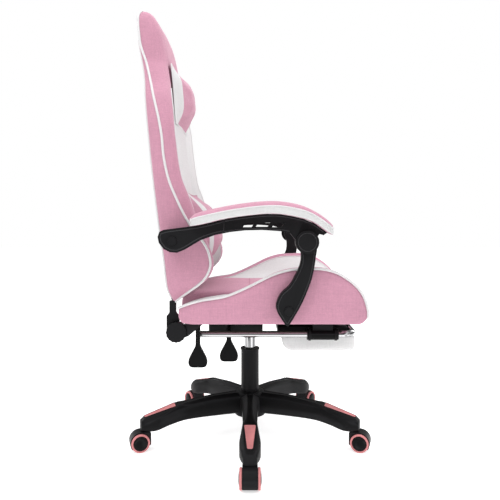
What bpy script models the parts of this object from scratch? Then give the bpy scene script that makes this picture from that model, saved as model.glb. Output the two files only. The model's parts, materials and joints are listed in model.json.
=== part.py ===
"""Gaming chair: five-star base, gas column, bucket seat, reclining back and footrest.

Metres, +Z up, +X the way the sitter faces, +Y the sitter's left. The origin is on
the floor, under the axis of the gas column.
"""
import math

import bmesh
import bpy
from mathutils import Matrix, Vector

# Clearances
TOUCH = 0.0003          # between faces that touch
RUNNING = 0.0005        # radial, between a shaft and the hole that it turns in

# Star base
LEG_COUNT = 5
LEG_REACH = 0.328
LEG_END_WIDTH = 0.034
LEG_BULGE_WIDTH = 0.055
LEG_NECK_WIDTH = 0.040
WHEEL_RADIUS = 0.026
LEG_END_FLOOR_HEIGHT = 2 * WHEEL_RADIUS + 0.004
LEG_SHOULDER = 0.008
HUB_RADIUS = 0.043
HUB_TOP = 0.143
HUB_BOTTOM = 0.069
STEM_RADIAL_PLACE = 0.310
INSERT_INNER = 0.227
INSERT_OUTER = 0.318
INSERT_INNER_WIDTH = 0.031
INSERT_OUTER_WIDTH = 0.0155
INSERT_THICKNESS = 0.003
INSERT_SINK = 0.002
INSERT_TOP_SLOPE = 0.29

# Casters
TREAD_RADIUS = WHEEL_RADIUS - 0.0014
WHEEL_CAP_RADIUS = WHEEL_RADIUS - 0.0055
WHEEL_OUTER_FACE = 0.028
WHEEL_INNER_FACE = 0.0045
AXLE_RADIUS = 0.004
AXLE_HALF_LENGTH = 0.0205
CASTER_TRAIL = 0.020
HOOD_HALF_WIDTH = 0.019
HOOD_WALL = 0.0027
HOOD_WEB_HALF = 0.0035
STEM_RADIUS = 0.0055
STEM_SOCKET_TOP = 0.086
STEM_LENGTH = STEM_SOCKET_TOP - LEG_END_FLOOR_HEIGHT
WHEEL_CLEARANCE = 0.0012

# Gas column
TUBE_RADIUS = 0.0268
TUBE_BORE = 0.0225
TUBE_TOP = 0.2623
TUBE_BOTTOM = 0.066
TUBE_TAPER_RADIUS = 0.0240
TUBE_FLOOR = 0.088
BUSH_FLANGE_RADIUS = 0.0288
BUSH_FLANGE_HEIGHT = 0.005
BUSH_LENGTH = 0.040
CYLINDER_RADIUS = 0.0163
CYLINDER_BOTTOM = 0.165
CYLINDER_TOP = 0.362
ROD_RADIUS = 0.005
ROD_TOP = 0.232
ROD_FOOT_RADIUS = 0.011
ROD_FOOT_HEIGHT = 0.006

# Seat
SEAT_HALF_WIDTH = 0.260
PAN_HALF_WIDTH = 0.165
SEAT_REAR = -0.165
SEAT_FRONT = 0.302
SEAT_UNDERSIDE = 0.3855
PAN_TOP = 0.4575
BOARD_HALF_WIDTH = 0.195
BOARD_FRONT = 0.255
BOARD_THICKNESS = 0.0084
HOUSING_SIZE = (0.157, 0.150, 0.049)
HOUSING_FRONT = 0.037
HOUSING_WALL = 0.004
FLANGE_LENGTH = 0.202
FLANGE_WIDTH = 0.190
FLANGE_THICKNESS = 0.008

# Recline hinge
RECLINE_AXIS = (-0.1926, 0.3627)
ADJUSTER_RADIUS = 0.027
ADJUSTER_TEETH = 16
ADJUSTER_INNER = 0.2225
ADJUSTER_THICKNESS = 0.016
HINGE_INNER = 0.205
HINGE_THICKNESS = 0.016
SHAFT_RADIUS = 0.006

# Back
BACK_HALF_WIDTH = SEAT_HALF_WIDTH - 0.010
BACK_FOOT = 0.442
BACK_TOP = 1.243
HEAD_HALF_WIDTH = 0.150
NECK_HALF_WIDTH = 0.112
SLOT_LOW = 0.990
SLOT_HIGH = 1.078

# Pillows
HEAD_PILLOW_SIZE = (0.060, 0.264, 0.172)
HEAD_PILLOW_TILT = math.radians(4.6)
HEAD_PILLOW_FOOT = 0.922
LUMBAR_PILLOW_SIZE = (0.094, 0.320, 0.236)
LUMBAR_PILLOW_TILT = math.radians(7.8)
LUMBAR_PILLOW_FOOT = 0.498
PILLOW_CLEARANCE = 0.0012

# Arms
ARM_PLATE_INNER = SEAT_HALF_WIDTH + 0.0285
ARM_PLATE_THICKNESS = 0.0235
ARM_PIVOT = (-0.193, 0.605)
ARM_BOSS_RADIUS = 0.022
ARM_BOSS_INNER = SEAT_HALF_WIDTH + 0.0105
KNUCKLE = (0.142, 0.602)
KNUCKLE_RADIUS = 0.0295
KNUCKLE_STAND = 0.004
LINK_PIVOT = (0.098, 0.4265)
LINK_INNER = SEAT_HALF_WIDTH + 0.004
LINK_THICKNESS = 0.022
BOLT_RADIUS = 0.006
BOLT_HEAD_RADIUS = 0.011
BOLT_HEAD_HEIGHT = 0.004
PAD_INNER = SEAT_HALF_WIDTH + 0.002
PAD_WIDTH = 0.088

# Levers
LEVER_BOTTOM = 0.262
LEVER_PADDLE_WIDTH = 0.051
LEVER_PADDLE_HEIGHT = 0.060
LEVER_STEM_WIDTH = 0.015
LEVER_THICKNESS = 0.009
HEIGHT_LEVER_PLACE = (-0.0586, -0.140, 0.352)
HEIGHT_LEVER_PIVOT = -0.080
RECLINE_LEVER_PLACE = (-0.139, -0.200, 0.3705)

# Footrest
RAIL_RADIUS = 0.009
RAIL_HALF_SPACING = 0.170
RAIL_HEIGHT = 0.344
RAIL_REAR = -0.139
RAIL_FRONT = 0.284
RAIL_BEND = 0.034
SLEEVE_REAR = 0.155
SLEEVE_LENGTH = 0.085
SLEEVE_RADIUS = 0.0185
FOOT_PAD_HALF_WIDTH = 0.146
FOOT_PAD_FRONT = 0.291
FOOT_PAD_LENGTH = 0.203
FOOT_PAD_BOTTOM = 0.291
FOOT_BOARD_LENGTH = 0.1925
FOOT_BOARD_THICKNESS = 0.0262
FOOT_TAB_WIDTH = 0.030
FOOT_TAB_PLACE = 0.065

CHAIR_NAME = "gaming_chair"
NEAR, FAR = -1, 1       # the sitter's right, with the levers, and the sitter's left
SIDE_NAMES = {NEAR: "right", FAR: "left"}


# ---------------------------------------------------------------- scene and materials
def clear_scene():
    for obj in list(bpy.data.objects):
        bpy.data.objects.remove(obj, do_unlink=True)


def new_collection(name):
    collection = bpy.data.collections.new(name)
    bpy.context.scene.collection.children.link(collection)
    return collection


def new_material(name, color, roughness, metallic=0.0):
    material = bpy.data.materials.new(name)
    material.use_nodes = True
    shader = material.node_tree.nodes["Principled BSDF"]
    shader.inputs["Base Color"].default_value = (*color, 1.0)
    shader.inputs["Roughness"].default_value = roughness
    shader.inputs["Metallic"].default_value = metallic
    material.diffuse_color = (*color, 1.0)
    return material


clear_scene()
CHAIR = new_collection(CHAIR_NAME)
CUTTERS = new_collection("cutters")
NYLON = new_material("black_nylon", (0.016, 0.016, 0.017), 0.45)
STEEL = new_material("black_steel", (0.020, 0.020, 0.021), 0.40, 0.6)
CHROME = new_material("chrome", (0.86, 0.86, 0.87), 0.10, 1.0)
SALMON = new_material("salmon_plastic", (0.72, 0.28, 0.28), 0.40)
PINK = new_material("pink_fabric", (0.62, 0.29, 0.38), 0.90)
WHITE = new_material("white_fabric", (0.72, 0.71, 0.72), 0.90)


# ---------------------------------------------------------------- modelling helpers
def add_object(name, mesh, material=None):
    obj = bpy.data.objects.new(name, mesh)
    CHAIR.objects.link(obj)
    if material and not mesh.materials:
        mesh.materials.append(material)
    return obj


def finish_mesh(name, bm, material, smooth_angle=35):
    bmesh.ops.recalc_face_normals(bm, faces=bm.faces)
    mesh = bpy.data.meshes.new(name)
    bm.to_mesh(mesh)
    bm.free()
    mesh.shade_smooth()
    mesh.set_sharp_from_angle(angle=math.radians(smooth_angle))
    return add_object(name, mesh, material)


def box(name, low, high, material=None):
    """A box between two corners."""
    low, high = Vector(low), Vector(high)
    bm = bmesh.new()
    bmesh.ops.create_cube(bm, size=1.0)
    bmesh.ops.scale(bm, vec=high - low, verts=bm.verts)
    bmesh.ops.translate(bm, vec=(low + high) / 2, verts=bm.verts)
    return finish_mesh(name, bm, material)


def cylinder(name, start, end, radius, material=None, sides=24):
    """A round bar from start to end."""
    start, end = Vector(start), Vector(end)
    along = end - start
    bm = bmesh.new()
    bmesh.ops.create_cone(bm, cap_ends=True, segments=sides, radius1=radius,
                          radius2=radius, depth=along.length)
    turn = along.to_track_quat("Z", "Y").to_matrix().to_4x4()
    bmesh.ops.transform(bm, matrix=Matrix.Translation((start + end) / 2) @ turn, verts=bm.verts)
    return finish_mesh(name, bm, material)


def turned(name, profile, material=None, steps=24, closed=False):
    """A shape of revolution about local Z. The profile's outer side runs downward."""
    mesh = bpy.data.meshes.new(name)
    edges = [(i, i + 1) for i in range(len(profile) - 1)]
    if closed:
        edges.append((len(profile) - 1, 0))
    mesh.from_pydata([(radius, 0.0, height) for radius, height in profile], edges, [])
    obj = add_object(name, mesh, material)
    screw = obj.modifiers.new("turn", "SCREW")
    screw.axis = "Z"
    screw.steps = steps
    screw.render_steps = steps
    screw.use_merge_vertices = True
    screw.merge_threshold = 0.00005
    return obj


def plate(name, outline, low, high, material=None, holes=(), smooth_angle=35):
    """A flat plate cut to an outline in X and Z, lying between two values of Y."""
    curve = bpy.data.curves.new(name, "CURVE")
    curve.dimensions = "2D"
    curve.fill_mode = "BOTH"
    curve.extrude = abs(high - low) / 2
    for loop in (outline, *holes):
        spline = curve.splines.new("POLY")
        spline.points.add(len(loop) - 1)
        for point, (x, z) in zip(spline.points, loop):
            point.co = (x, z, 0.0, 1.0)
        spline.use_cyclic_u = True
    guide = bpy.data.objects.new(name, curve)
    guide.location = (0.0, (low + high) / 2, 0.0)
    guide.rotation_euler = (math.pi / 2, 0.0, 0.0)
    return as_mesh(guide, name, material, smooth_angle)


def tube(name, points, radius, material=None, resolution=3):
    """A round bar along a path of points."""
    curve = bpy.data.curves.new(name, "CURVE")
    curve.dimensions = "3D"
    curve.bevel_depth = radius
    curve.bevel_resolution = resolution
    curve.use_fill_caps = True
    spline = curve.splines.new("POLY")
    spline.points.add(len(points) - 1)
    for point, place in zip(spline.points, points):
        point.co = (*place, 1.0)
    guide = bpy.data.objects.new(name, curve)
    return as_mesh(guide, name, material, 50)


def as_mesh(guide, name, material, smooth_angle=35):
    """Turn a curve object into one closed mesh object in world space."""
    CUTTERS.objects.link(guide)
    bpy.context.view_layer.update()
    evaluated = guide.evaluated_get(bpy.context.evaluated_depsgraph_get())
    source = bpy.data.meshes.new_from_object(evaluated)
    bm = bmesh.new()
    bm.from_mesh(source)
    bm.transform(guide.matrix_world)
    bmesh.ops.remove_doubles(bm, verts=bm.verts, dist=0.00002)
    curve = guide.data
    bpy.data.objects.remove(guide, do_unlink=True)
    bpy.data.curves.remove(curve)
    bpy.data.meshes.remove(source)
    return finish_mesh(name, bm, material, smooth_angle)


def loft(name, rings, material=None, smooth_angle=50):
    """A closed skin over rings of points, each ring with the same number of points."""
    bm = bmesh.new()
    rows = [[bm.verts.new(point) for point in ring] for ring in rings]
    count = len(rows[0])
    for lower, upper in zip(rows, rows[1:]):
        for i in range(count):
            j = (i + 1) % count
            bm.faces.new((lower[i], lower[j], upper[j], upper[i]))
    bm.faces.new(reversed(rows[0]))
    bm.faces.new(rows[-1])
    return finish_mesh(name, bm, material, smooth_angle)


def bevel(obj, width, segments=2, angle=40):
    modifier = obj.modifiers.new("round", "BEVEL")
    modifier.width = width
    modifier.segments = segments
    modifier.limit_method = "ANGLE"
    modifier.angle_limit = math.radians(angle)
    return obj


def combine(obj, tool, operation):
    """Cut or join with a second object, which then only guides the shape."""
    modifier = obj.modifiers.new(tool.name, "BOOLEAN")
    modifier.operation = operation
    modifier.solver = "EXACT"
    modifier.object = tool
    tool.hide_render = True
    tool.display_type = "WIRE"
    for collection in list(tool.users_collection):
        collection.objects.unlink(tool)
    CUTTERS.objects.link(tool)
    return obj


def cut(obj, tool):
    return combine(obj, tool, "DIFFERENCE")


def join(obj, tool):
    return combine(obj, tool, "UNION")


def baked_mesh(obj):
    """The object's mesh with its modifiers applied; the object itself is removed."""
    bpy.context.view_layer.update()
    evaluated = obj.evaluated_get(bpy.context.evaluated_depsgraph_get())
    mesh = bpy.data.meshes.new_from_object(evaluated)
    bpy.data.objects.remove(obj, do_unlink=True)
    return mesh


def hang_on(obj, pivot):
    """Move the object's origin to its joint's axis and leave its shape in place."""
    obj.data.transform(Matrix.Translation(-Vector(pivot)))
    obj.location = pivot
    return obj


def empty(name, location=(0.0, 0.0, 0.0), turn=0.0, parent=None):
    marker = bpy.data.objects.new(name, None)
    marker.location = location
    marker.rotation_euler = (0.0, 0.0, turn)
    marker.empty_display_size = 0.03
    marker.parent = parent
    CUTTERS.objects.link(marker)
    return marker


# ---------------------------------------------------------------- curves and outlines
def curve_through(points):
    """A smooth function through (input, output) points in order of input."""
    xs = [x for x, _ in points]
    ys = [y for _, y in points]
    last = len(points) - 1
    slopes = []
    for i in range(last + 1):
        low, high = max(i - 1, 0), min(i + 1, last)
        slopes.append((ys[high] - ys[low]) / (xs[high] - xs[low]))

    def value(x):
        x = min(max(x, xs[0]), xs[-1])
        i = max(k for k in range(last) if xs[k] <= x)
        span = xs[i + 1] - xs[i]
        t = (x - xs[i]) / span
        return ((2 * t**3 - 3 * t**2 + 1) * ys[i] + (t**3 - 2 * t**2 + t) * span * slopes[i]
                + (3 * t**2 - 2 * t**3) * ys[i + 1] + (t**3 - t**2) * span * slopes[i + 1])

    return value


def line_through(points):
    """A piecewise straight function through (input, output) points."""
    def value(x):
        x = min(max(x, points[0][0]), points[-1][0])
        for (x0, y0), (x1, y1) in zip(points, points[1:]):
            if x <= x1:
                return y0 + (y1 - y0) * (x - x0) / (x1 - x0)
        return points[-1][1]

    return value


def flowing(points, steps=3):
    """A closed outline that runs smoothly through its points."""
    count = len(points)
    outline = []
    for i in range(count):
        p0, p1 = Vector(points[i - 1]), Vector(points[i])
        p2, p3 = Vector(points[(i + 1) % count]), Vector(points[(i + 2) % count])
        for k in range(steps):
            t = k / steps
            outline.append(tuple(0.5 * (2 * p1 + (p2 - p0) * t
                                        + (2 * p0 - 5 * p1 + 4 * p2 - p3) * t**2
                                        + (3 * p1 - p0 - 3 * p2 + p3) * t**3)))
    return outline


def arc(centre, radius, start, end, steps):
    """Points on an arc, with angles in degrees."""
    points = []
    for i in range(steps + 1):
        angle = math.radians(start + (end - start) * i / steps)
        points.append((centre[0] + radius * math.cos(angle), centre[1] + radius * math.sin(angle)))
    return points


def steps_between(low, high, count):
    return [low + (high - low) * i / (count - 1) for i in range(count)]


# ---------------------------------------------------------------- star base and casters
def leg_top(radial):
    """Height of a leg's top. The stretch that holds the insert is flat."""
    flat_start, flat_top = 0.222, 0.1195
    if radial >= flat_start:
        return flat_top - (radial - flat_start) * INSERT_TOP_SLOPE
    return curve_through([(0.0, 0.138), (0.11, 0.134), (0.155, 0.129), (flat_start, flat_top)])(radial)


def leg_rings():
    half_width = curve_through([
        (0.02, 0.026), (0.11, LEG_NECK_WIDTH / 2 + 0.001), (0.20, LEG_NECK_WIDTH / 2),
        (0.235, LEG_NECK_WIDTH / 2 + 0.003), (0.28, LEG_BULGE_WIDTH / 2),
        (0.305, LEG_BULGE_WIDTH / 2 - 0.003), (LEG_REACH, LEG_END_WIDTH / 2)])
    floor = curve_through([(0.02, 0.079), (0.11, 0.078), (0.20, 0.075), (0.25, 0.066),
                           (0.287, LEG_END_FLOOR_HEIGHT), (LEG_REACH, LEG_END_FLOOR_HEIGHT)])
    rings = []
    for radial in (0.02, 0.06, 0.11, 0.155, 0.20, 0.222, 0.245, 0.265, 0.285, 0.305, LEG_REACH):
        half, top, low = half_width(radial), leg_top(radial), floor(radial)
        right = [(half - 0.005, top), (half, top - LEG_SHOULDER),
                 (half, low + 0.006), (half - 0.006, low)]
        section = right + [(-side, height) for side, height in reversed(right)]
        rings.append([(radial, side, height) for side, height in section])
    return rings


def insert_outline(clearance):
    middle = (INSERT_INNER + INSERT_OUTER) / 2
    inner, outer = INSERT_INNER - middle - clearance, INSERT_OUTER - middle + clearance
    wide, narrow = INSERT_INNER_WIDTH / 2 + clearance, INSERT_OUTER_WIDTH / 2 + clearance
    nip = 0.003
    return [(inner + nip, -wide), (inner, -wide + nip), (inner, wide - nip), (inner + nip, wide),
            (outer - nip, narrow), (outer, narrow - nip), (outer, -narrow + nip),
            (outer - nip, -narrow)]


def insert_block(name, clearance, low, high, material=None):
    """A block of the insert's outline, tilted to lie along the leg's top."""
    middle = (INSERT_INNER + INSERT_OUTER) / 2
    slope = math.atan(INSERT_TOP_SLOPE)
    tilt = Matrix.Translation((middle, 0.0, leg_top(middle))) @ Matrix.Rotation(slope, 4, "Y")
    outline = insert_outline(clearance)
    rings = [[tilt @ Vector((x, y, level)) for x, y in outline] for level in (low, high)]
    return loft(name, rings, material, 30)


def turned_copies(name, shape, angles):
    """One mesh object that holds a copy of a shape at each angle about the column."""
    bm = bmesh.new()
    for angle in angles:
        mesh = shape.data.copy()
        mesh.transform(Matrix.Rotation(angle, 4, "Z"))
        bm.from_mesh(mesh)
        bpy.data.meshes.remove(mesh)
    bpy.data.objects.remove(shape, do_unlink=True)
    return finish_mesh(name, bm, None)


def make_star_base(angles):
    tube_hole = TUBE_TAPER_RADIUS + TOUCH
    hub = turned("star_base", [
        (tube_hole, HUB_TOP), (HUB_RADIUS - 0.003, HUB_TOP), (HUB_RADIUS, HUB_TOP - 0.005),
        (HUB_RADIUS + 0.004, HUB_BOTTOM + 0.003), (HUB_RADIUS + 0.001, HUB_BOTTOM),
        (tube_hole, HUB_BOTTOM)], NYLON, 40, closed=True)
    for number, angle in enumerate(angles, 1):
        leg = loft(f"leg_{number}", leg_rings())
        leg.data.transform(Matrix.Rotation(angle, 4, "Z"))
        join(hub, leg)
    column_hole = cylinder("column_hole", (0, 0, HUB_BOTTOM - 0.02), (0, 0, HUB_TOP + 0.02),
                           tube_hole, sides=40)
    cut(hub, column_hole)
    stem_hole = cylinder("stem_hole", (STEM_RADIAL_PLACE, 0, LEG_END_FLOOR_HEIGHT - 0.01),
                         (STEM_RADIAL_PLACE, 0, LEG_END_FLOOR_HEIGHT + STEM_LENGTH),
                         STEM_RADIUS + RUNNING, sides=16)
    cut(hub, turned_copies("stem_holes", stem_hole, angles))
    recess = insert_block("recess", TOUCH, -INSERT_SINK, 0.01)
    cut(hub, turned_copies("insert_recesses", recess, angles))
    return hub


def make_inserts(leg_axes):
    low = TOUCH - INSERT_SINK
    shape = insert_block("leg_insert", 0.0, low, low + INSERT_THICKNESS, SALMON)
    mesh = baked_mesh(shape)
    for number, axis in enumerate(leg_axes, 1):
        insert = add_object(f"leg_insert_{number}", mesh, SALMON)
        insert.parent = axis


def hood_mesh():
    """The caster's hood, web, axle and stem, about the axle's centre with +X outboard."""
    cavity = TREAD_RADIUS + WHEEL_CLEARANCE
    radius = cavity + HOOD_WALL
    back = -(cavity + 0.0042)
    outline = arc((0, 0), radius, -38, 90, 9) + [
        (back + 0.004, radius), (back, radius - 0.004), (back, -0.008), (back + 0.004, -0.010)]
    hood = plate("caster_hood", outline, -HOOD_HALF_WIDTH, HOOD_HALF_WIDTH, NYLON)
    for side in (NEAR, FAR):
        cut(hood, cylinder(f"wheel_space_{SIDE_NAMES[side]}", (0, side * HOOD_WEB_HALF, 0),
                           (0, side * (HOOD_HALF_WIDTH + 0.01), 0), cavity, sides=20))
    join(hood, cylinder("caster_axle", (0, -AXLE_HALF_LENGTH, 0), (0, AXLE_HALF_LENGTH, 0),
                        AXLE_RADIUS, sides=12))
    stem_top = LEG_END_FLOOR_HEIGHT + STEM_LENGTH - 0.001 - WHEEL_RADIUS
    join(hood, cylinder("caster_stem", (-CASTER_TRAIL, 0, radius - 0.002),
                        (-CASTER_TRAIL, 0, stem_top), STEM_RADIUS, sides=12))
    return baked_mesh(hood)


def wheel_mesh(side):
    """A caster wheel about its own axle, facing +Y or -Y."""
    bore = AXLE_RADIUS + RUNNING
    bore_end = AXLE_HALF_LENGTH + 0.001
    ring_inner = HOOD_HALF_WIDTH + 0.001
    wheel = turned("caster_wheel", [
        (0.0, WHEEL_OUTER_FACE), (0.016, WHEEL_OUTER_FACE - 0.0006),
        (WHEEL_CAP_RADIUS, WHEEL_OUTER_FACE - 0.0022), (WHEEL_RADIUS - 0.0006, WHEEL_OUTER_FACE - 0.0022),
        (WHEEL_RADIUS, ring_inner), (TREAD_RADIUS, ring_inner - 0.0004),
        (TREAD_RADIUS, WHEEL_INNER_FACE), (bore, WHEEL_INNER_FACE), (bore, bore_end),
        (0.0, bore_end)], NYLON, 18)
    mesh = baked_mesh(wheel)
    mesh.transform(Matrix.Rotation(math.radians(-90 * side), 4, "X"))
    return mesh


def make_casters(leg_axes):
    hood = hood_mesh()
    wheels = {side: wheel_mesh(side) for side in (NEAR, FAR)}
    for number, axis in enumerate(leg_axes, 1):
        stem = empty(f"caster_stem_axis_{number}", (STEM_RADIAL_PLACE, 0.0, WHEEL_RADIUS), 0.0, axis)
        body = add_object(f"caster_hood_{number}", hood, NYLON)
        body.parent = stem
        body.location = (CASTER_TRAIL, 0.0, 0.0)
        for side, mesh in wheels.items():
            wheel = add_object(f"caster_wheel_{number}_{SIDE_NAMES[side]}", mesh, NYLON)
            wheel.parent = stem
            wheel.location = (CASTER_TRAIL, 0.0, 0.0)


# ---------------------------------------------------------------- gas column
def make_column():
    column_foot = TUBE_TAPER_RADIUS
    turned("column_tube", [
        (0.0, TUBE_FLOOR), (TUBE_BORE, TUBE_FLOOR), (TUBE_BORE, TUBE_TOP), (TUBE_RADIUS, TUBE_TOP),
        (TUBE_RADIUS, HUB_TOP + TOUCH), (column_foot, HUB_TOP + TOUCH), (column_foot, TUBE_BOTTOM),
        (0.0, TUBE_BOTTOM)], STEEL, 32)
    bush_bore = CYLINDER_RADIUS + RUNNING
    flange_low = TUBE_TOP + TOUCH
    turned("guide_bush", [
        (bush_bore, flange_low + BUSH_FLANGE_HEIGHT),
        (BUSH_FLANGE_RADIUS - 0.001, flange_low + BUSH_FLANGE_HEIGHT),
        (BUSH_FLANGE_RADIUS, flange_low + BUSH_FLANGE_HEIGHT - 0.001),
        (BUSH_FLANGE_RADIUS, flange_low), (TUBE_BORE - TOUCH, flange_low),
        (TUBE_BORE - TOUCH, TUBE_TOP - BUSH_LENGTH), (bush_bore, TUBE_TOP - BUSH_LENGTH)],
        NYLON, 32, closed=True)
    rod_low = TUBE_FLOOR + TOUCH
    turned("gas_rod", [
        (0.0, ROD_TOP), (ROD_RADIUS, ROD_TOP), (ROD_RADIUS, rod_low + ROD_FOOT_HEIGHT),
        (ROD_FOOT_RADIUS, rod_low + ROD_FOOT_HEIGHT), (ROD_FOOT_RADIUS, rod_low), (0.0, rod_low)],
        CHROME, 20)
    rod_space = ROD_RADIUS + RUNNING
    bore_end = CYLINDER_TOP - 0.050
    turned("gas_cylinder", [
        (0.0, CYLINDER_TOP), (CYLINDER_RADIUS, CYLINDER_TOP), (CYLINDER_RADIUS, CYLINDER_BOTTOM),
        (rod_space, CYLINDER_BOTTOM), (rod_space, bore_end), (0.0, bore_end)], CHROME, 32)


# ---------------------------------------------------------------- seat
def make_seat_base():
    board_low = SEAT_UNDERSIDE - TOUCH - BOARD_THICKNESS
    board = box("seat_board", (SEAT_REAR, -BOARD_HALF_WIDTH, board_low),
                (BOARD_FRONT, BOARD_HALF_WIDTH, board_low + BOARD_THICKNESS), STEEL)
    bevel(board, 0.002, 1)
    flange_top = board_low - TOUCH
    length, width, height = HOUSING_SIZE
    housing_low = flange_top - FLANGE_THICKNESS - height + 0.001
    housing = box("mechanism_housing", (HOUSING_FRONT - length, -width / 2, housing_low),
                  (HOUSING_FRONT, width / 2, housing_low + height), STEEL)
    bevel(housing, 0.006, 2)
    wall = HOUSING_WALL
    cut(housing, box("housing_space", (HOUSING_FRONT - length + wall, -width / 2 + wall, housing_low - wall),
                     (HOUSING_FRONT - wall, width / 2 - wall, housing_low + height - wall)))
    join(housing, cylinder("cylinder_boss", (0, 0, housing_low + wall), (0, 0, flange_top - 0.001),
                           CYLINDER_RADIUS + 2 * wall, sides=32))
    join(housing, box("housing_flange",
                      (HOUSING_FRONT - FLANGE_LENGTH, -FLANGE_WIDTH / 2, flange_top - FLANGE_THICKNESS),
                      (HOUSING_FRONT, FLANGE_WIDTH / 2, flange_top)))
    cut(housing, cylinder("cylinder_socket", (0, 0, housing_low - 0.02),
                          (0, 0, CYLINDER_TOP + TOUCH), CYLINDER_RADIUS + TOUCH, sides=32))


def make_seat_cushion():
    nose = [(BOARD_FRONT - 0.005, SEAT_UNDERSIDE), (0.264, 0.392), (0.276, 0.403), (0.292, 0.411),
            (SEAT_FRONT - 0.001, 0.424), (SEAT_FRONT, 0.440), (SEAT_FRONT - 0.010, 0.454)]
    outline = nose + [(0.265, PAN_TOP + 0.004), (0.0, PAN_TOP), (SEAT_REAR + 0.012, PAN_TOP - 0.002),
                      (SEAT_REAR, PAN_TOP - 0.010), (SEAT_REAR, SEAT_UNDERSIDE)]
    plate("seat_cushion", outline, -PAN_HALF_WIDTH, PAN_HALF_WIDTH, PINK)


def make_seat_bolster(side):
    crest = curve_through([
        (-0.185, 0.430), (-0.150, 0.444), (-0.064, 0.461), (0.0, 0.489), (0.064, 0.521),
        (0.128, 0.535), (0.180, 0.5345), (0.225, 0.524), (0.269, 0.492), (0.294, 0.452), (0.302, 0.420)])
    underside = line_through([
        (-0.185, 0.405), (-0.174, SEAT_UNDERSIDE + 0.002), (-0.150, SEAT_UNDERSIDE),
        (0.285, SEAT_UNDERSIDE), (0.296, SEAT_UNDERSIDE + 0.007), (0.302, SEAT_UNDERSIDE + 0.018)])
    inner = PAN_HALF_WIDTH + TOUCH
    outer = SEAT_HALF_WIDTH
    rings = []
    for x in (-0.184, -0.174, -0.150, -0.105, -0.064, -0.020, 0.024, 0.064, 0.105, 0.150, 0.190,
              0.225, 0.250, 0.272, 0.287, 0.296, 0.302):
        top, low = crest(x), underside(x)
        foot = max(low + 0.004, min(top - 0.006, PAN_TOP - 0.006))
        section = [(inner, low), (outer - 0.004, low), (outer, low + 0.004), (outer, top - 0.006),
                   (outer - 0.004, top), (outer - 0.018, top + 0.003), (outer - 0.034, top - 0.002),
                   (inner, foot)]
        rings.append([(x, side * y, z) for y, z in section])
    loft(f"seat_bolster_{SIDE_NAMES[side]}", rings, PINK)


# ---------------------------------------------------------------- recline hinge
def hinge_disc(name, outline_radius, low, high, material=None):
    """A disc on the recline axis with grip teeth round its rim."""
    points = []
    for i in range(ADJUSTER_TEETH * 2):
        radius = outline_radius - (0.0012 if i % 2 else 0.0)
        angle = math.tau * i / (ADJUSTER_TEETH * 2)
        points.append((RECLINE_AXIS[0] + radius * math.cos(angle),
                       RECLINE_AXIS[1] + radius * math.sin(angle)))
    return plate(name, points, low, high, material)


def make_recline_hinge(side):
    word = SIDE_NAMES[side]
    x, z = RECLINE_AXIS
    inner = ADJUSTER_INNER
    disc = hinge_disc(f"recline_adjuster_{word}", ADJUSTER_RADIUS, side * inner,
                      side * (inner + ADJUSTER_THICKNESS), STEEL)
    top = SEAT_UNDERSIDE - TOUCH
    foot = [(x + 0.010, z - 0.018), (x + 0.030, z - 0.012), (-0.130, top - 0.008), (-0.120, top),
            (-0.168, top), (x + 0.006, z + 0.012)]
    join(disc, plate(f"adjuster_foot_{word}", foot, side * (inner + 0.001), side * (inner + 0.007)))
    cut(disc, cylinder(f"adjuster_bore_{word}", (x, side * (inner - 0.01), z),
                       (x, side * (inner + 0.008), z), SHAFT_RADIUS + TOUCH, sides=16))
    hinge_top = BACK_FOOT - TOUCH
    outline = [(x - 0.0275, z - 0.016), (x - 0.0275, 0.402), (x - 0.020, 0.412), (x - 0.020, hinge_top),
               (x - 0.003, hinge_top), (x - 0.003, 0.412), (x + 0.004, 0.402)]
    outline += arc(RECLINE_AXIS, 0.019, 70, -120, 8)
    hinge = plate(f"back_hinge_{word}", outline, side * HINGE_INNER,
                  side * (HINGE_INNER + HINGE_THICKNESS), STEEL)
    cut(hinge, cylinder(f"hinge_bore_{word}", (x, side * (HINGE_INNER - 0.01), z),
                        (x, side * (HINGE_INNER + HINGE_THICKNESS + 0.01), z),
                        SHAFT_RADIUS + RUNNING, sides=16))
    hang_on(hinge, (x, side * HINGE_INNER, z))


def make_recline_shaft():
    x, z = RECLINE_AXIS
    reach = ADJUSTER_INNER + 0.007
    cylinder("recline_shaft", (x, -reach, z), (x, reach, z), SHAFT_RADIUS, STEEL, sides=16)


# ---------------------------------------------------------------- back
back_rear = curve_through([
    (0.437, -0.205), (0.479, -0.221), (0.552, -0.231), (0.630, -0.241), (0.791, -0.259),
    (0.951, -0.276), (1.046, -0.290), (1.1145, -0.305), (1.196, -0.317), (1.225, -0.318),
    (BACK_TOP, -0.310)])
wing_front = curve_through([
    (0.440, -0.196), (0.464, -0.161), (0.499, -0.113), (0.542, -0.094), (0.602, -0.113),
    (0.660, -0.137), (0.720, -0.157), (0.774, -0.176), (0.875, -0.190), (0.946, -0.197),
    (1.030, -0.214), (1.078, -0.224)])
core_front = line_through([
    (0.446, -0.192), (0.468, -0.175), (0.500, -0.158), (0.885, -0.2105), (1.085, -0.2265),
    (1.132, -0.236), (1.177, -0.247), (1.215, -0.262), (1.235, -0.276), (BACK_TOP, -0.288)])
core_half = line_through([
    (0.446, 0.165), (0.500, 0.175), (0.850, 0.170), (0.950, 0.150), (SLOT_LOW, 0.136)])
head_half = line_through([
    (1.150, HEAD_HALF_WIDTH), (1.180, HEAD_HALF_WIDTH - 0.002), (1.215, HEAD_HALF_WIDTH - 0.008),
    (1.235, HEAD_HALF_WIDTH - 0.018), (BACK_TOP, HEAD_HALF_WIDTH - 0.032)])
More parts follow.
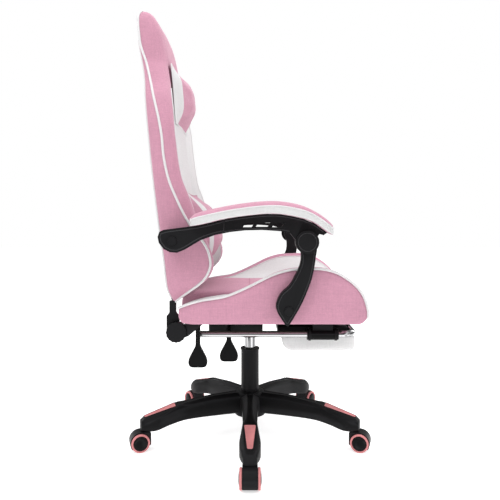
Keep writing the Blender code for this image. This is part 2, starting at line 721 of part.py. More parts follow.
wing_outer = curve_through([
    (0.440, BACK_HALF_WIDTH - 0.035), (0.470, BACK_HALF_WIDTH - 0.008), (0.520, BACK_HALF_WIDTH),
    (0.850, BACK_HALF_WIDTH), (0.930, BACK_HALF_WIDTH - 0.007), (0.985, BACK_HALF_WIDTH - 0.027),
    (1.035, BACK_HALF_WIDTH - 0.063), (SLOT_HIGH, HEAD_HALF_WIDTH + 0.010)])
wing_inner = line_through([
    (0.440, 0.165 + TOUCH), (0.500, 0.175 + TOUCH), (0.850, 0.170 + TOUCH), (0.950, 0.150 + TOUCH),
    (SLOT_LOW, 0.136 + TOUCH), (SLOT_LOW + 0.006, 0.150), (1.040, 0.148), (SLOT_HIGH, 0.147)])


def rounded_section(x_low, x_high, half, height, corner):
    """A rectangle in X and Y with cut corners, symmetric about Y = 0."""
    right = [(x_low, half - corner), (x_low + corner, half), (x_high - corner, half),
             (x_high, half - corner)]
    left = [(x, -y) for x, y in reversed(right)]
    return [(x, y, height) for x, y in right + left]


BACK_STATIONS = (0.446, 0.468, 0.500, 0.560, 0.620, 0.680, 0.740, 0.800, 0.850, 0.900, 0.950, 0.978,
                 SLOT_LOW)
HEAD_STATIONS = (SLOT_HIGH, 1.105, 1.132, 1.155, 1.180, 1.200, 1.215, 1.227, 1.235, 1.240, BACK_TOP)


def make_back_cushions():
    """The back's middle: cushion, neck between the harness slots, and headrest."""
    cushion = [rounded_section(back_rear(height), core_front(height), core_half(height) - TOUCH, height, 0.008)
               for height in BACK_STATIONS]
    loft("back_cushion", cushion, PINK)
    neck = [rounded_section(back_rear(height), core_front(height), NECK_HALF_WIDTH, height, 0.008)
            for height in (SLOT_LOW + TOUCH, 1.020, 1.050, SLOT_HIGH - TOUCH)]
    loft("back_neck", neck, PINK)
    head = [rounded_section(back_rear(height), core_front(height), head_half(height), height, 0.010)
            for height in HEAD_STATIONS]
    loft("headrest", head, PINK)


def make_back_wing(side):
    rings = []
    for height in (BACK_FOOT, 0.458, 0.475, 0.500, 0.530, 0.565, 0.605, 0.660, 0.720, 0.790, 0.850,
                   0.900, 0.950, SLOT_LOW, SLOT_LOW + 0.006, 1.040, SLOT_HIGH - TOUCH):
        rear, front = back_rear(height), wing_front(height)
        outer, inner = wing_outer(height), wing_inner(height) + TOUCH
        width = outer - inner
        mid = min(core_front(height), front - 0.003)
        section = [(rear, inner), (rear, outer - min(0.012, 0.4 * width)), (rear + 0.008, outer),
                   (front - min(0.014, 0.3 * (front - rear)), outer - 0.001),
                   (front, outer - min(0.014, 0.3 * width)),
                   (front - 0.002, outer - min(0.034, 0.6 * width)), (mid, inner)]
        rings.append([(x, side * y, height) for x, y in section])
    loft(f"back_wing_{SIDE_NAMES[side]}", rings, PINK)


def make_pillow(name, size, tilt, foot_height, material):
    """A pillow lying on the back's front, with its foot at the given height."""
    depth, width, height = size
    heights = steps_between(foot_height, foot_height + height, 12)
    rear = PILLOW_CLEARANCE + max(core_front(z) + (z - foot_height) * math.tan(tilt) for z in heights)
    block = box(name, (0, -width / 2, 0), (depth, width / 2, height), material)
    bevel(block, 0.018, 2)
    block.rotation_euler = (0.0, -tilt, 0.0)
    block.location = (rear, 0.0, foot_height)
    return block


# ---------------------------------------------------------------- arms
arm_top = curve_through([
    (-0.215, 0.632), (-0.124, 0.6445), (-0.062, 0.659), (0.025, 0.6703), (0.075, 0.6708),
    (0.1485, 0.654), (0.191, 0.6255)])
pad_top = curve_through([
    (-0.146, 0.652), (-0.136, 0.667), (-0.1064, 0.680), (-0.022, 0.6975), (0.062, 0.7045),
    (0.126, 0.694), (0.1856, 0.659), (0.206, 0.634)])


ARM_STATIONS = steps_between(-0.215, 0.191, 15)     # shared by the beam's top and the pad


def arm_outline():
    top = [(x, arm_top(x)) for x in ARM_STATIONS]
    knuckle_side = [(0.182, 0.619), (0.172, 0.622)] + arc(KNUCKLE, KNUCKLE_RADIUS, 30, -190, 14)
    underside = [(0.100, 0.623), (0.0817, 0.6285), (0.0297, 0.632), (-0.0124, 0.631), (-0.0495, 0.6268),
                 (-0.0866, 0.6195), (-0.1238, 0.6059), (-0.1609, 0.5837), (-0.1807, 0.5755),
                 (-0.198, 0.577)]
    tail = [(-0.214, 0.5850), (-0.2255, 0.600), (-0.2285, 0.615), (-0.2245, 0.627)]
    return top + knuckle_side + underside + tail


def arm_slots():
    """Three slanted slots through the beam."""
    slots = []
    for start, end, low in ((-0.018, 0.004, 0.6385), (0.014, 0.044, 0.6395), (0.054, 0.078, 0.6385)):
        high = low + 0.0105
        slots.append([(start, low), (end, low), (end + 0.007, high), (start + 0.007, high)])
    return slots


def make_arm(side):
    word = SIDE_NAMES[side]
    inner, outer = ARM_PLATE_INNER, ARM_PLATE_INNER + ARM_PLATE_THICKNESS
    x, z = ARM_PIVOT
    pivot = (x, side * inner, z)
    bracket = plate(f"arm_bracket_{word}", arm_outline(), side * inner, side * outer, NYLON, arm_slots())
    join(bracket, cylinder(f"arm_boss_{word}", (x, side * ARM_BOSS_INNER, z),
                           (x, side * (inner + 0.002), z), ARM_BOSS_RADIUS))
    join(bracket, cylinder(f"knuckle_cap_{word}", (KNUCKLE[0], side * (outer - 0.002), KNUCKLE[1]),
                           (KNUCKLE[0], side * (outer + KNUCKLE_STAND), KNUCKLE[1]),
                           KNUCKLE_RADIUS - 0.001, sides=28))
    cut(bracket, cylinder(f"arm_bore_{word}", (x, side * (ARM_BOSS_INNER - 0.01), z),
                          (x, side * (outer + 0.01), z), BOLT_RADIUS + RUNNING, sides=20))
    hang_on(baked_as(bracket), pivot)

    outline = [(station, arm_top(station) + TOUCH) for station in ARM_STATIONS[3:]]
    outline += [(0.199, 0.627), (0.206, 0.634)]
    outline += [(station, pad_top(station)) for station in reversed(steps_between(-0.136, 0.1956, 12))]
    outline += [(-0.146, 0.656), (-0.143, 0.648)]
    pad = plate(f"arm_pad_{word}", outline, side * PAD_INNER, side * (PAD_INNER + PAD_WIDTH), PINK)
    hang_on(pad, pivot)

    reach = wing_outer(z) + TOUCH
    shoulder_end = ARM_BOSS_INNER - TOUCH
    shoulder = cylinder(f"arm_bolt_{word}", (x, side * reach, z), (x, side * shoulder_end, z),
                        ARM_BOSS_RADIUS - 0.006, STEEL)
    join(shoulder, cylinder(f"arm_shank_{word}", (x, side * (shoulder_end - 0.002), z),
                            (x, side * (outer + 0.002), z), BOLT_RADIUS, sides=16))
    join(shoulder, cylinder(f"arm_bolt_head_{word}", (x, side * (outer + RUNNING), z),
                            (x, side * (outer + RUNNING + BOLT_HEAD_HEIGHT), z),
                            BOLT_HEAD_RADIUS, sides=20))


def baked_as(obj):
    """Replace an object by one of the same name with its modifiers applied."""
    name = obj.name
    return add_object(name, baked_mesh(obj))


def make_link(side):
    word = SIDE_NAMES[side]
    inner, outer = LINK_INNER, LINK_INNER + LINK_THICKNESS
    x, z = LINK_PIVOT
    outline = flowing([
        (0.1685, 0.600), (0.1660, 0.5626), (0.1559, 0.5082), (0.1312, 0.4463), (0.1010, 0.3945),
        (0.0930, 0.3890), (0.0842, 0.3993), (0.0656, 0.4339), (0.0767, 0.4686), (0.1015, 0.4933),
        (0.1265, 0.5428), (0.1280, 0.5775), (0.1195, 0.604), (0.142, 0.6275)])
    link = plate(f"arm_link_{word}", outline, side * inner, side * outer, NYLON)
    cut(link, cylinder(f"link_bore_{word}", (x, side * (inner - 0.01), z), (x, side * (outer + 0.01), z),
                       BOLT_RADIUS + RUNNING, sides=20))
    hang_on(baked_as(link), (x, side * inner, z))
    bolt = cylinder(f"link_bolt_{word}", (x, side * (SEAT_HALF_WIDTH + TOUCH), z),
                    (x, side * (outer + 0.002), z), BOLT_RADIUS, STEEL, sides=16)
    join(bolt, cylinder(f"link_bolt_collar_{word}", (x, side * (SEAT_HALF_WIDTH + TOUCH), z),
                        (x, side * (inner - RUNNING), z), BOLT_HEAD_RADIUS, sides=20))
    join(bolt, cylinder(f"link_bolt_head_{word}", (x, side * (outer + RUNNING), z),
                        (x, side * (outer + RUNNING + BOLT_HEAD_HEIGHT), z), BOLT_HEAD_RADIUS, sides=20))


# ---------------------------------------------------------------- levers
def make_lever(name, place, pivot_side):
    """A paddle that hangs beside its pivot; a rod joins it to a pivot nearer the middle."""
    x, y, pivot_height = place
    half, stem = LEVER_PADDLE_WIDTH / 2, LEVER_STEM_WIDTH / 2
    low = LEVER_BOTTOM
    outline = [(x - half + 0.006, low), (x + half - 0.006, low), (x + half - 0.001, low + 0.005),
               (x + half, low + 0.016), (x + half - 0.007, low + 0.034),
               (x + stem + 0.001, low + LEVER_PADDLE_HEIGHT), (x + stem, pivot_height + 0.003),
               (x - stem, pivot_height + 0.003), (x - stem - 0.001, low + LEVER_PADDLE_HEIGHT),
               (x - half + 0.007, low + 0.034), (x - half, low + 0.016), (x - half + 0.001, low + 0.005)]
    lever = plate(name, outline, y - LEVER_THICKNESS / 2, y + LEVER_THICKNESS / 2, NYLON)
    if pivot_side != y:
        join(lever, cylinder(f"{name}_rod", (x, y, pivot_height - 0.004),
                             (x, pivot_side, pivot_height - 0.004), 0.0045, sides=12))
    hang_on(baked_as(lever), (x, pivot_side, pivot_height))


# ---------------------------------------------------------------- footrest
def make_rail():
    """One bent tube: a straight run under each side of the seat and a crossbar in front."""
    corner_x = RAIL_FRONT - RAIL_BEND
    corner_y = RAIL_HALF_SPACING - RAIL_BEND
    bend = [(corner_x + RAIL_BEND * math.sin(angle), corner_y + RAIL_BEND * math.cos(angle))
            for angle in (math.radians(15 * i) for i in range(7))]
    half = [(RAIL_REAR, RAIL_HALF_SPACING)] + bend
    points = half + [(x, -y) for x, y in reversed(half)]
    tube("footrest_rail", [(x, y, RAIL_HEIGHT) for x, y in points], RAIL_RADIUS, CHROME)


def make_sleeve(side):
    y = side * RAIL_HALF_SPACING
    top = SEAT_UNDERSIDE - BOARD_THICKNESS - 2 * TOUCH
    word = SIDE_NAMES[side]
    sleeve = cylinder(f"slide_sleeve_{word}", (SLEEVE_REAR, y, RAIL_HEIGHT),
                      (SLEEVE_REAR + SLEEVE_LENGTH, y, RAIL_HEIGHT), SLEEVE_RADIUS, NYLON)
    for end in (SLEEVE_REAR + 0.004, SLEEVE_REAR + SLEEVE_LENGTH - 0.010):
        join(sleeve, cylinder(f"sleeve_rib_{word}_{end:.3f}", (end, y, RAIL_HEIGHT),
                              (end + 0.006, y, RAIL_HEIGHT), SLEEVE_RADIUS + 0.0025))
    join(sleeve, box(f"sleeve_foot_{word}", (SLEEVE_REAR + 0.015, y - 0.012, RAIL_HEIGHT + 0.012),
                     (SLEEVE_REAR + SLEEVE_LENGTH - 0.015, y + 0.012, top)))
    cut(sleeve, cylinder(f"sleeve_bore_{word}", (SLEEVE_REAR - 0.02, y, RAIL_HEIGHT),
                         (SLEEVE_REAR + SLEEVE_LENGTH + 0.02, y, RAIL_HEIGHT), RAIL_RADIUS + RUNNING))


def make_footrest():
    pivot = (RAIL_FRONT, 0.0, RAIL_HEIGHT)
    half = FOOT_PAD_HALF_WIDTH
    pad_top_height = RAIL_HEIGHT - RAIL_RADIUS - RUNNING
    rear = FOOT_PAD_FRONT - FOOT_PAD_LENGTH
    low = FOOT_PAD_BOTTOM
    outline = [(rear, pad_top_height), (rear + 0.004, low + 0.014), (rear + 0.014, low + 0.003),
               (rear + 0.024, low), (FOOT_PAD_FRONT - 0.006, low), (FOOT_PAD_FRONT, low + 0.006),
               (FOOT_PAD_FRONT, pad_top_height)]
    pad = plate("footrest_pad", outline, -half, half, WHITE)
    hang_on(pad, pivot)
    board_front = RAIL_FRONT - RAIL_RADIUS - 0.0055
    board_low = pad_top_height + TOUCH
    board = box("footrest_board", (board_front - FOOT_BOARD_LENGTH, -half, board_low),
                (board_front, half, board_low + FOOT_BOARD_THICKNESS), NYLON)
    bevel(board, 0.004, 2)
    tab_low = RAIL_HEIGHT + RAIL_RADIUS + RUNNING
    for side in (NEAR, FAR):
        middle = side * FOOT_TAB_PLACE
        join(board, box(f"footrest_tab_{SIDE_NAMES[side]}",
                        (board_front - 0.012, middle - FOOT_TAB_WIDTH / 2, tab_low),
                        (RAIL_FRONT + 0.008, middle + FOOT_TAB_WIDTH / 2, tab_low + 0.004)))
    hang_on(baked_as(board), pivot)


# ---------------------------------------------------------------- assembly
def main():
    angles = [math.radians(-90 + 360 / LEG_COUNT * i) for i in range(LEG_COUNT)]
    leg_axes = [empty(f"leg_axis_{i}", turn=angle) for i, angle in enumerate(angles, 1)]
    make_star_base(angles)
    make_inserts(leg_axes)
    make_casters(leg_axes)
    make_column()
    make_seat_base()
    make_seat_cushion()
    make_recline_shaft()
    make_back_cushions()
    for side in (NEAR, FAR):
        make_seat_bolster(side)
        make_recline_hinge(side)
        make_back_wing(side)
        make_arm(side)
        make_link(side)
        make_sleeve(side)
    make_pillow("head_pillow", HEAD_PILLOW_SIZE, HEAD_PILLOW_TILT, HEAD_PILLOW_FOOT, PINK)
    make_pillow("lumbar_pillow", LUMBAR_PILLOW_SIZE, LUMBAR_PILLOW_TILT, LUMBAR_PILLOW_FOOT, PINK)
    make_lever("height_lever", HEIGHT_LEVER_PLACE, HEIGHT_LEVER_PIVOT)
    make_lever("recline_lever", RECLINE_LEVER_PLACE, RECLINE_LEVER_PLACE[1])
    make_rail()
    make_footrest()


main()
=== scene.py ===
"""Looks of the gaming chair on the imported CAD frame. Metres, +Z up, +X the way the sitter faces."""
import json
import math

import bmesh
import bpy
from mathutils import Matrix, Vector


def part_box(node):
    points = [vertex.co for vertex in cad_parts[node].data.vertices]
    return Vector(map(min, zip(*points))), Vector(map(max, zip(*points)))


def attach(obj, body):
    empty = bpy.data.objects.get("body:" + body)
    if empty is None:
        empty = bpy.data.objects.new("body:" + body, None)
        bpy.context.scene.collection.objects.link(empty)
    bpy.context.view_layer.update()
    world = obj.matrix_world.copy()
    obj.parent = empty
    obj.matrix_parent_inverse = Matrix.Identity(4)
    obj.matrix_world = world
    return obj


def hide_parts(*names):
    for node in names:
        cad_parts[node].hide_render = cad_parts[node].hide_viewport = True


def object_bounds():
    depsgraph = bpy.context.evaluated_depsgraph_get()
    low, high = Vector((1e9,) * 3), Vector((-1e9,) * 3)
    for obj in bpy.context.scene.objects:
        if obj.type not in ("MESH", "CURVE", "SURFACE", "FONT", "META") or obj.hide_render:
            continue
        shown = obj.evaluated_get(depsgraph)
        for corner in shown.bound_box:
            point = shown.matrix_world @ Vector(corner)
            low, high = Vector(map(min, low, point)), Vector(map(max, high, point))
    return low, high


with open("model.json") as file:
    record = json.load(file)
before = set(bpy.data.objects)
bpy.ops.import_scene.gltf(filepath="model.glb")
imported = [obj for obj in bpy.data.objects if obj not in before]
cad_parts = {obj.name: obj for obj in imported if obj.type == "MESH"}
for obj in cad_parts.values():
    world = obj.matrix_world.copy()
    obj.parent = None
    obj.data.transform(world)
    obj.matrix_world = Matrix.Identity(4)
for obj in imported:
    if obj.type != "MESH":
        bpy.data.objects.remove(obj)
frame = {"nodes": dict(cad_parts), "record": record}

CAD_BOX = [list(corner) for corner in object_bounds()]
NODES = frame["nodes"]
NEAR, FAR = -1, 1                     # the sitter's right and left
SIDES = ((NEAR, "right"), (FAR, "left"))
SIDE_WORD = dict(SIDES)
PIPING_RADIUS = 0.0033
HEIGHT_LEVER_PIVOT = -0.08            # where the height lever's rod ends, along Y


# ---- curves
def curve_through(points):
    """A smooth function through (input, output) points in order of input."""
    xs = [x for x, _ in points]
    ys = [y for _, y in points]
    last = len(points) - 1
    slopes = []
    for i in range(last + 1):
        low, high = max(i - 1, 0), min(i + 1, last)
        slopes.append((ys[high] - ys[low]) / (xs[high] - xs[low]))

    def value(x):
        x = min(max(x, xs[0]), xs[-1])
        i = max(k for k in range(last) if xs[k] <= x)
        span = xs[i + 1] - xs[i]
        t = (x - xs[i]) / span
        return ((2 * t**3 - 3 * t**2 + 1) * ys[i] + (t**3 - 2 * t**2 + t) * span * slopes[i]
                + (3 * t**2 - 2 * t**3) * ys[i + 1] + (t**3 - t**2) * span * slopes[i + 1])

    return value


def line_through(points):
    """A piecewise straight function through (input, output) points."""
    def value(x):
        x = min(max(x, points[0][0]), points[-1][0])
        for (x0, y0), (x1, y1) in zip(points, points[1:]):
            if x <= x1:
                return y0 + (y1 - y0) * (x - x0) / (x1 - x0)
        return points[-1][1]

    return value


def spread(low, high, count):
    return [low + (high - low) * i / (count - 1) for i in range(count)]


def smooth_step(low, high, x):
    t = min(max((x - low) / (high - low), 0.0), 1.0)
    return t * t * (3 - 2 * t)


def mix(a, b, t):
    return a + (b - a) * t


def path_through(points, count):
    """Points spaced along a smooth curve through the given points."""
    points = [Vector(point) for point in points]
    dense = []
    for i in range(len(points) - 1):
        p0, p1 = points[max(i - 1, 0)], points[i]
        p2, p3 = points[i + 1], points[min(i + 2, len(points) - 1)]
        for k in range(8):
            t = k / 8
            dense.append(0.5 * (2 * p1 + (p2 - p0) * t + (2 * p0 - 5 * p1 + 4 * p2 - p3) * t**2
                                + (3 * p1 - p0 - 3 * p2 + p3) * t**3))
    dense.append(points[-1])
    reach = [0.0]
    for a, b in zip(dense, dense[1:]):
        reach.append(reach[-1] + (b - a).length)
    result = []
    for place in spread(0.0, reach[-1], count):
        i = max(k for k in range(len(dense) - 1) if reach[k] <= place + 1e-9)
        result.append(dense[i].lerp(dense[i + 1], (place - reach[i]) / max(reach[i + 1] - reach[i], 1e-9)))
    return result


def inset_loop(points, amount):
    """A closed loop of (x, z) points moved inward."""
    count = len(points)
    area = sum(points[i][0] * points[(i + 1) % count][1] - points[(i + 1) % count][0] * points[i][1]
               for i in range(count))
    turn = 1 if area > 0 else -1
    result = []
    for i in range(count):
        before, here, after = (Vector(points[(i + k) % count]) for k in (-1, 0, 1))
        a, b = (here - before).normalized(), (after - here).normalized()
        normal = Vector((-(a.y + b.y), a.x + b.x)) * turn
        if normal.length > 1e-6:
            normal.normalize()
        result.append(tuple(here + normal * amount))
    return result


# ---- materials
def nodes_of(name, color, roughness, metallic=0.0):
    material = bpy.data.materials.new(name)
    material.use_nodes = True
    tree = material.node_tree
    shader = tree.nodes["Principled BSDF"]
    shader.inputs["Base Color"].default_value = (*color, 1.0)
    shader.inputs["Roughness"].default_value = roughness
    shader.inputs["Metallic"].default_value = metallic
    material.diffuse_color = (*color, 1.0)
    return material, tree, shader


def stretched_noise(tree, scale, detail=2.0, roughness=0.6):
    """Noise in the object's own coordinates, with a scale for each axis in cycles a metre."""
    place = tree.nodes.new("ShaderNodeTexCoord")
    mapping = tree.nodes.new("ShaderNodeMapping")
    mapping.inputs["Scale"].default_value = scale
    noise = tree.nodes.new("ShaderNodeTexNoise")
    noise.inputs["Scale"].default_value = 1.0
    noise.inputs["Detail"].default_value = detail
    noise.inputs["Roughness"].default_value = roughness
    tree.links.new(place.outputs["Object"], mapping.inputs["Vector"])
    tree.links.new(mapping.outputs["Vector"], noise.inputs["Vector"])
    return noise.outputs["Fac"]


def calculate(tree, operation, first, second, third=None):
    node = tree.nodes.new("ShaderNodeMath")
    node.operation = operation
    for socket, value in zip(node.inputs, (first, second, third)):
        if value is None:
            continue
        if isinstance(value, (int, float)):
            socket.default_value = value
        else:
            tree.links.new(value, socket)
    return node.outputs["Value"]


def ramp(tree, factor, stops):
    node = tree.nodes.new("ShaderNodeValToRGB")
    elements = node.color_ramp.elements
    while len(elements) < len(stops):
        elements.new(0.5)
    for element, (position, color) in zip(elements, stops):
        element.position = position
        element.color = (*color, 1.0)
    tree.links.new(factor, node.inputs["Fac"])
    return node.outputs["Color"]


def painted_reflection_streaks(tree, scale, low, high):
    """Painted reflection mask: 0 to 1 by the way the surface faces, standing in for the light and dark shapes
    that a studio leaves on gloss.
    """
    geometry = tree.nodes.new("ShaderNodeNewGeometry")
    noise = tree.nodes.new("ShaderNodeTexNoise")
    noise.inputs["Scale"].default_value = scale
    noise.inputs["Detail"].default_value = 0.0
    tree.links.new(geometry.outputs["Normal"], noise.inputs["Vector"])
    return ramp(tree, noise.outputs["Fac"], [(low, (0, 0, 0)), (high, (1, 1, 1))])


def blend_to(tree, shader, tone, factor, color):
    """Mix the tone with a plain color, use it as the base and return it."""
    blend = tree.nodes.new("ShaderNodeMix")
    blend.data_type = "RGBA"
    tree.links.new(factor, blend.inputs["Factor"])
    tree.links.new(tone, blend.inputs["A"])
    blend.inputs["B"].default_value = (*color, 1.0)
    tree.links.new(blend.outputs["Result"], shader.inputs["Base Color"])
    return blend.outputs["Result"]


def shade_of(color, factor):
    return tuple(min(channel * factor, 1.0) for channel in color)


def add_bump(tree, shader, height, strength, distance):
    bump = tree.nodes.new("ShaderNodeBump")
    bump.inputs["Strength"].default_value = strength
    bump.inputs["Distance"].default_value = distance
    tree.links.new(height, bump.inputs["Height"])
    tree.links.new(bump.outputs["Normal"], shader.inputs["Normal"])


def woven(tree, along, across, detail):
    """The mean of three noises, each stretched along one axis like thread."""
    total = 0.0
    for scale in ((along, across, across), (across, along, across), (across, across, along)):
        total = calculate(tree, "ADD", total, stretched_noise(tree, scale, detail))
    return calculate(tree, "MULTIPLY", total, 1 / 3)


def linen(name, color, contrast=0.2):
    """Plain-woven cloth: threads and slubs along all three axes."""
    material, tree, shader = nodes_of(name, color, 0.92)
    threads = woven(tree, 110, 1250, 2.0)
    slubs = woven(tree, 28, 330, 1.0)
    cloudy = stretched_noise(tree, (9, 9, 9), 2.0)
    mixed = calculate(tree, "MULTIPLY_ADD", threads, 0.5, calculate(tree, "MULTIPLY", slubs, 0.36))
    mixed = calculate(tree, "MULTIPLY_ADD", cloudy, 0.14, mixed)
    tone = ramp(tree, mixed, [(0.36, shade_of(color, 1 - contrast)), (0.5, color),
                              (0.64, shade_of(color, 1 + contrast))])
    tree.links.new(tone, shader.inputs["Base Color"])
    add_bump(tree, shader, threads, 0.45, 0.0012)
    shader.inputs["Sheen Weight"].default_value = 0.22
    shader.inputs["Sheen Roughness"].default_value = 0.45
    shader.inputs["Sheen Tint"].default_value = (1.0, 0.93, 0.95, 1.0)
    shader.inputs["Specular IOR Level"].default_value = 0.25
    return material


def corded(name, color):
    """Piping: cloth cut on the bias round a cord, with fine ridges."""
    material, tree, shader = nodes_of(name, color, 0.85)
    ridges = stretched_noise(tree, (900, 900, 900), 2.0)
    tone = ramp(tree, ridges, [(0.35, shade_of(color, 0.9)), (0.6, color)])
    tree.links.new(tone, shader.inputs["Base Color"])
    add_bump(tree, shader, ridges, 0.35, 0.0008)
    shader.inputs["Sheen Weight"].default_value = 0.15
    return material


def moulded(name, color, roughness, grain=0.16, edge_wear_and_highlight=9.0, streak_highlight=4.5):
    """Moulded plastic or paint: fine grain, uneven gloss, paler edges that are partly wear and partly a
    painted highlight, and painted reflection streaks set by the way the surface faces.
    """
    material, tree, shader = nodes_of(name, color, roughness)
    fine = stretched_noise(tree, (1500, 1500, 1500), 2.0)
    broad = stretched_noise(tree, (22, 22, 22), 3.0)
    gloss = calculate(tree, "MULTIPLY_ADD", broad, 0.16, roughness - 0.08)
    tree.links.new(gloss, shader.inputs["Roughness"])
    geometry = tree.nodes.new("ShaderNodeNewGeometry")
    # painted highlight: sharp edges are lightened, partly as wear and partly to stand in for the highlights
    # that light leaves on them
    edges = ramp(tree, geometry.outputs["Pointiness"], [(0.5, (0, 0, 0)), (0.6, (1, 1, 1))])
    tone = ramp(tree, broad, [(0.35, shade_of(color, 0.85)), (0.65, shade_of(color, 1.15))])
    tone = blend_to(tree, shader, tone, calculate(tree, "MULTIPLY", edges, 0.6), shade_of(color, edge_wear_and_highlight))
    # painted highlight: pale streaks by the way the surface faces, standing in for studio reflections
    blend_to(tree, shader, tone, painted_reflection_streaks(tree, 3.1, 0.52, 0.72), shade_of(color, streak_highlight))
    add_bump(tree, shader, fine, grain, 0.0004)
    shader.inputs["Specular IOR Level"].default_value = 0.07
    return material


def plated(name, color, roughness):
    """Bright metal with faint drawing marks and smudges."""
    material, tree, shader = nodes_of(name, color, roughness, 1.0)
    marks = stretched_noise(tree, (60, 900, 900), 2.0)
    smudges = stretched_noise(tree, (18, 18, 18), 3.0)
    gloss = calculate(tree, "MULTIPLY_ADD", smudges, 0.08, roughness - 0.03)
    tree.links.new(gloss, shader.inputs["Roughness"])
    tone = ramp(tree, smudges, [(0.3, shade_of(color, 0.94)), (0.7, color)])
    # painted reflection: dark bands by the way the surface faces, standing in for dark surroundings seen in
    # the metal
    blend_to(tree, shader, tone, painted_reflection_streaks(tree, 3.4, 0.44, 0.56), shade_of(color, 0.22))
    add_bump(tree, shader, marks, 0.03, 0.0003)
    return material


PINK = linen("pink_linen", (0.535, 0.266, 0.354))
# a darker copy of the pink linen: painted shade inside the harness slots, on their rims, along the pan's
# cross seam and on the lumbar pillow's edge
SHADED_PINK = linen("shaded_pink_linen", (0.44, 0.18, 0.25))
WHITE = linen("white_linen", (0.66, 0.66, 0.66), 0.1)
# a darker copy of the white linen for the arm pads' band: painted shade
SHADED_PAD_WHITE = linen("shaded_pad_white_linen", (0.62, 0.62, 0.62), 0.1)
GREY_LINEN = linen("grey_linen", (0.77, 0.77, 0.77), 0.12)
PIPING = corded("white_piping", (0.72, 0.715, 0.72))
NYLON = moulded("black_nylon", (0.0036, 0.0036, 0.0039), 0.44)
# a lighter copy of the black nylon: a painted highlight on the raised lines, knuckle rings and paddle dots
NYLON_HIGHLIGHT = moulded("black_nylon_painted_highlight", (0.03, 0.03, 0.032), 0.3, 0.05, 1.7, 1.6)
NYLON_SMOOTH = moulded("black_nylon_smooth", (0.0034, 0.0034, 0.0037), 0.34, 0.05)
STEEL = moulded("black_paint", (0.0034, 0.0034, 0.0037), 0.36, 0.08)
RUBBER = moulded("wheel_tread", (0.018, 0.018, 0.019), 0.55, 0.16, 1.7, 1.4)
SALMON = moulded("salmon_plastic", (0.62, 0.235, 0.24), 0.42, 0.1, 1.25, 1.0)
CHROME = plated("chrome", (0.62, 0.62, 0.63), 0.12)
WOOD = moulded("stained_board", (0.045, 0.036, 0.03), 0.6, 0.3, 1.7, 1.0)
SLOT_OF = {material.name: slot for slot, materials in (
    ("pink_fabric", (PINK, SHADED_PINK)), ("white_fabric", (WHITE, PIPING)), ("chrome", (CHROME,)),
    ("black_nylon", (NYLON, NYLON_HIGHLIGHT, NYLON_SMOOTH)), ("black_steel", (STEEL,)), ("plywood", (WOOD,)),
    ("salmon_plastic", (SALMON,))) for material in materials}


# ---- meshes
def band(first, second, count):
    """The quads between two rings of vertices."""
    return [(first + j, first + (j + 1) % count, second + (j + 1) % count, second + j) for j in range(count)]


def close_ring(verts, faces, first, count, turn=1):
    """Close a ring of vertices with a fan round its middle. turn is -1 to go round the other way."""
    verts.append(sum(verts[first:first + count], Vector()) / count)
    faces += [(*(first + j, first + (j + 1) % count)[::turn], len(verts) - 1) for j in range(count)]


def add_object(name, data):
    obj = bpy.data.objects.new(name, data)
    bpy.context.scene.collection.objects.link(obj)
    return obj


def new_piece(name, verts, faces, materials, paints=None):
    mesh = bpy.data.meshes.new(name)
    mesh.from_pydata([tuple(v) for v in verts], [], faces)
    for material in materials:
        mesh.materials.append(material)
    if paints:
        mesh.polygons.foreach_set("material_index", paints)
    mesh.shade_smooth()
    mesh.update()
    return add_object(name, mesh)


def face_outward(obj, reach=0.0):
    """Face everything outward, after joining points that lie within reach of each other."""
    bm = bmesh.new()
    bm.from_mesh(obj.data)
    if reach:
        bmesh.ops.remove_doubles(bm, verts=bm.verts, dist=reach)
    bmesh.ops.recalc_face_normals(bm, faces=bm.faces)
    bm.to_mesh(obj.data)
    bm.free()
    return obj


def apply_modifiers(obj):
    """Replace the object's mesh by its evaluated one. The first vertices keep their numbers."""
    bpy.context.view_layer.update()
    evaluated = obj.evaluated_get(bpy.context.evaluated_depsgraph_get())
    mesh = bpy.data.meshes.new_from_object(evaluated)
    old = obj.data
    obj.modifiers.clear()
    obj.data = mesh
    bpy.data.meshes.remove(old)
    mesh.name = obj.name
    return obj


def subdivide(obj):
    modifier = obj.modifiers.new("subdivide", "SUBSURF")
    modifier.levels = 1
    modifier.render_levels = 1
    apply_modifiers(obj)
    obj.data.shade_smooth()
    return obj


def skin(name, rows, materials, paint):
    """A closed skin over rows of points. Vertex number = row * columns + column."""
    count = len(rows[0])
    verts = [Vector(point) for row in rows for point in row]
    faces, paints = [], []
    for i in range(len(rows) - 1):
        faces += band(i * count, (i + 1) * count, count)
        paints += [paint(i, j) for j in range(count)]
    for i, turn in ((0, -1), (len(rows) - 1, 1)):
        close_ring(verts, faces, i * count, count, turn)
        paints += [paint(min(i, len(rows) - 2), j) for j in range(count)]
    return face_outward(new_piece(name, verts, faces, materials, paints))


def tube_piece(name, points, radius, material, body, *nodes, cyclic=False, sides=3):
    """A round bead or bar along points."""
    curve = bpy.data.curves.new(name, "CURVE")
    curve.dimensions = "3D"
    curve.bevel_depth = radius
    curve.bevel_resolution = sides
    curve.use_fill_caps = True
    spline = curve.splines.new("POLY")
    spline.points.add(len(points) - 1)
    for place, point in zip(spline.points, points):
        place.co = (*point, 1.0)
    spline.use_cyclic_u = cyclic
    curve.materials.append(material)
    guide = add_object(name, curve)
    bpy.context.view_layer.update()
    evaluated = guide.evaluated_get(bpy.context.evaluated_depsgraph_get())
    mesh = bpy.data.meshes.new_from_object(evaluated)
    bpy.data.objects.remove(guide, do_unlink=True)
    bpy.data.curves.remove(curve)
    obj = face_outward(add_object(name, mesh), 0.00002)
    mesh.shade_smooth()
    mesh.set_sharp_from_angle(angle=math.radians(60))
    settle(obj, body, SLOT_OF[material.name], *nodes)


def settle(obj, body, slot, *nodes):
    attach(obj, body)
    if nodes:
        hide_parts(*nodes)


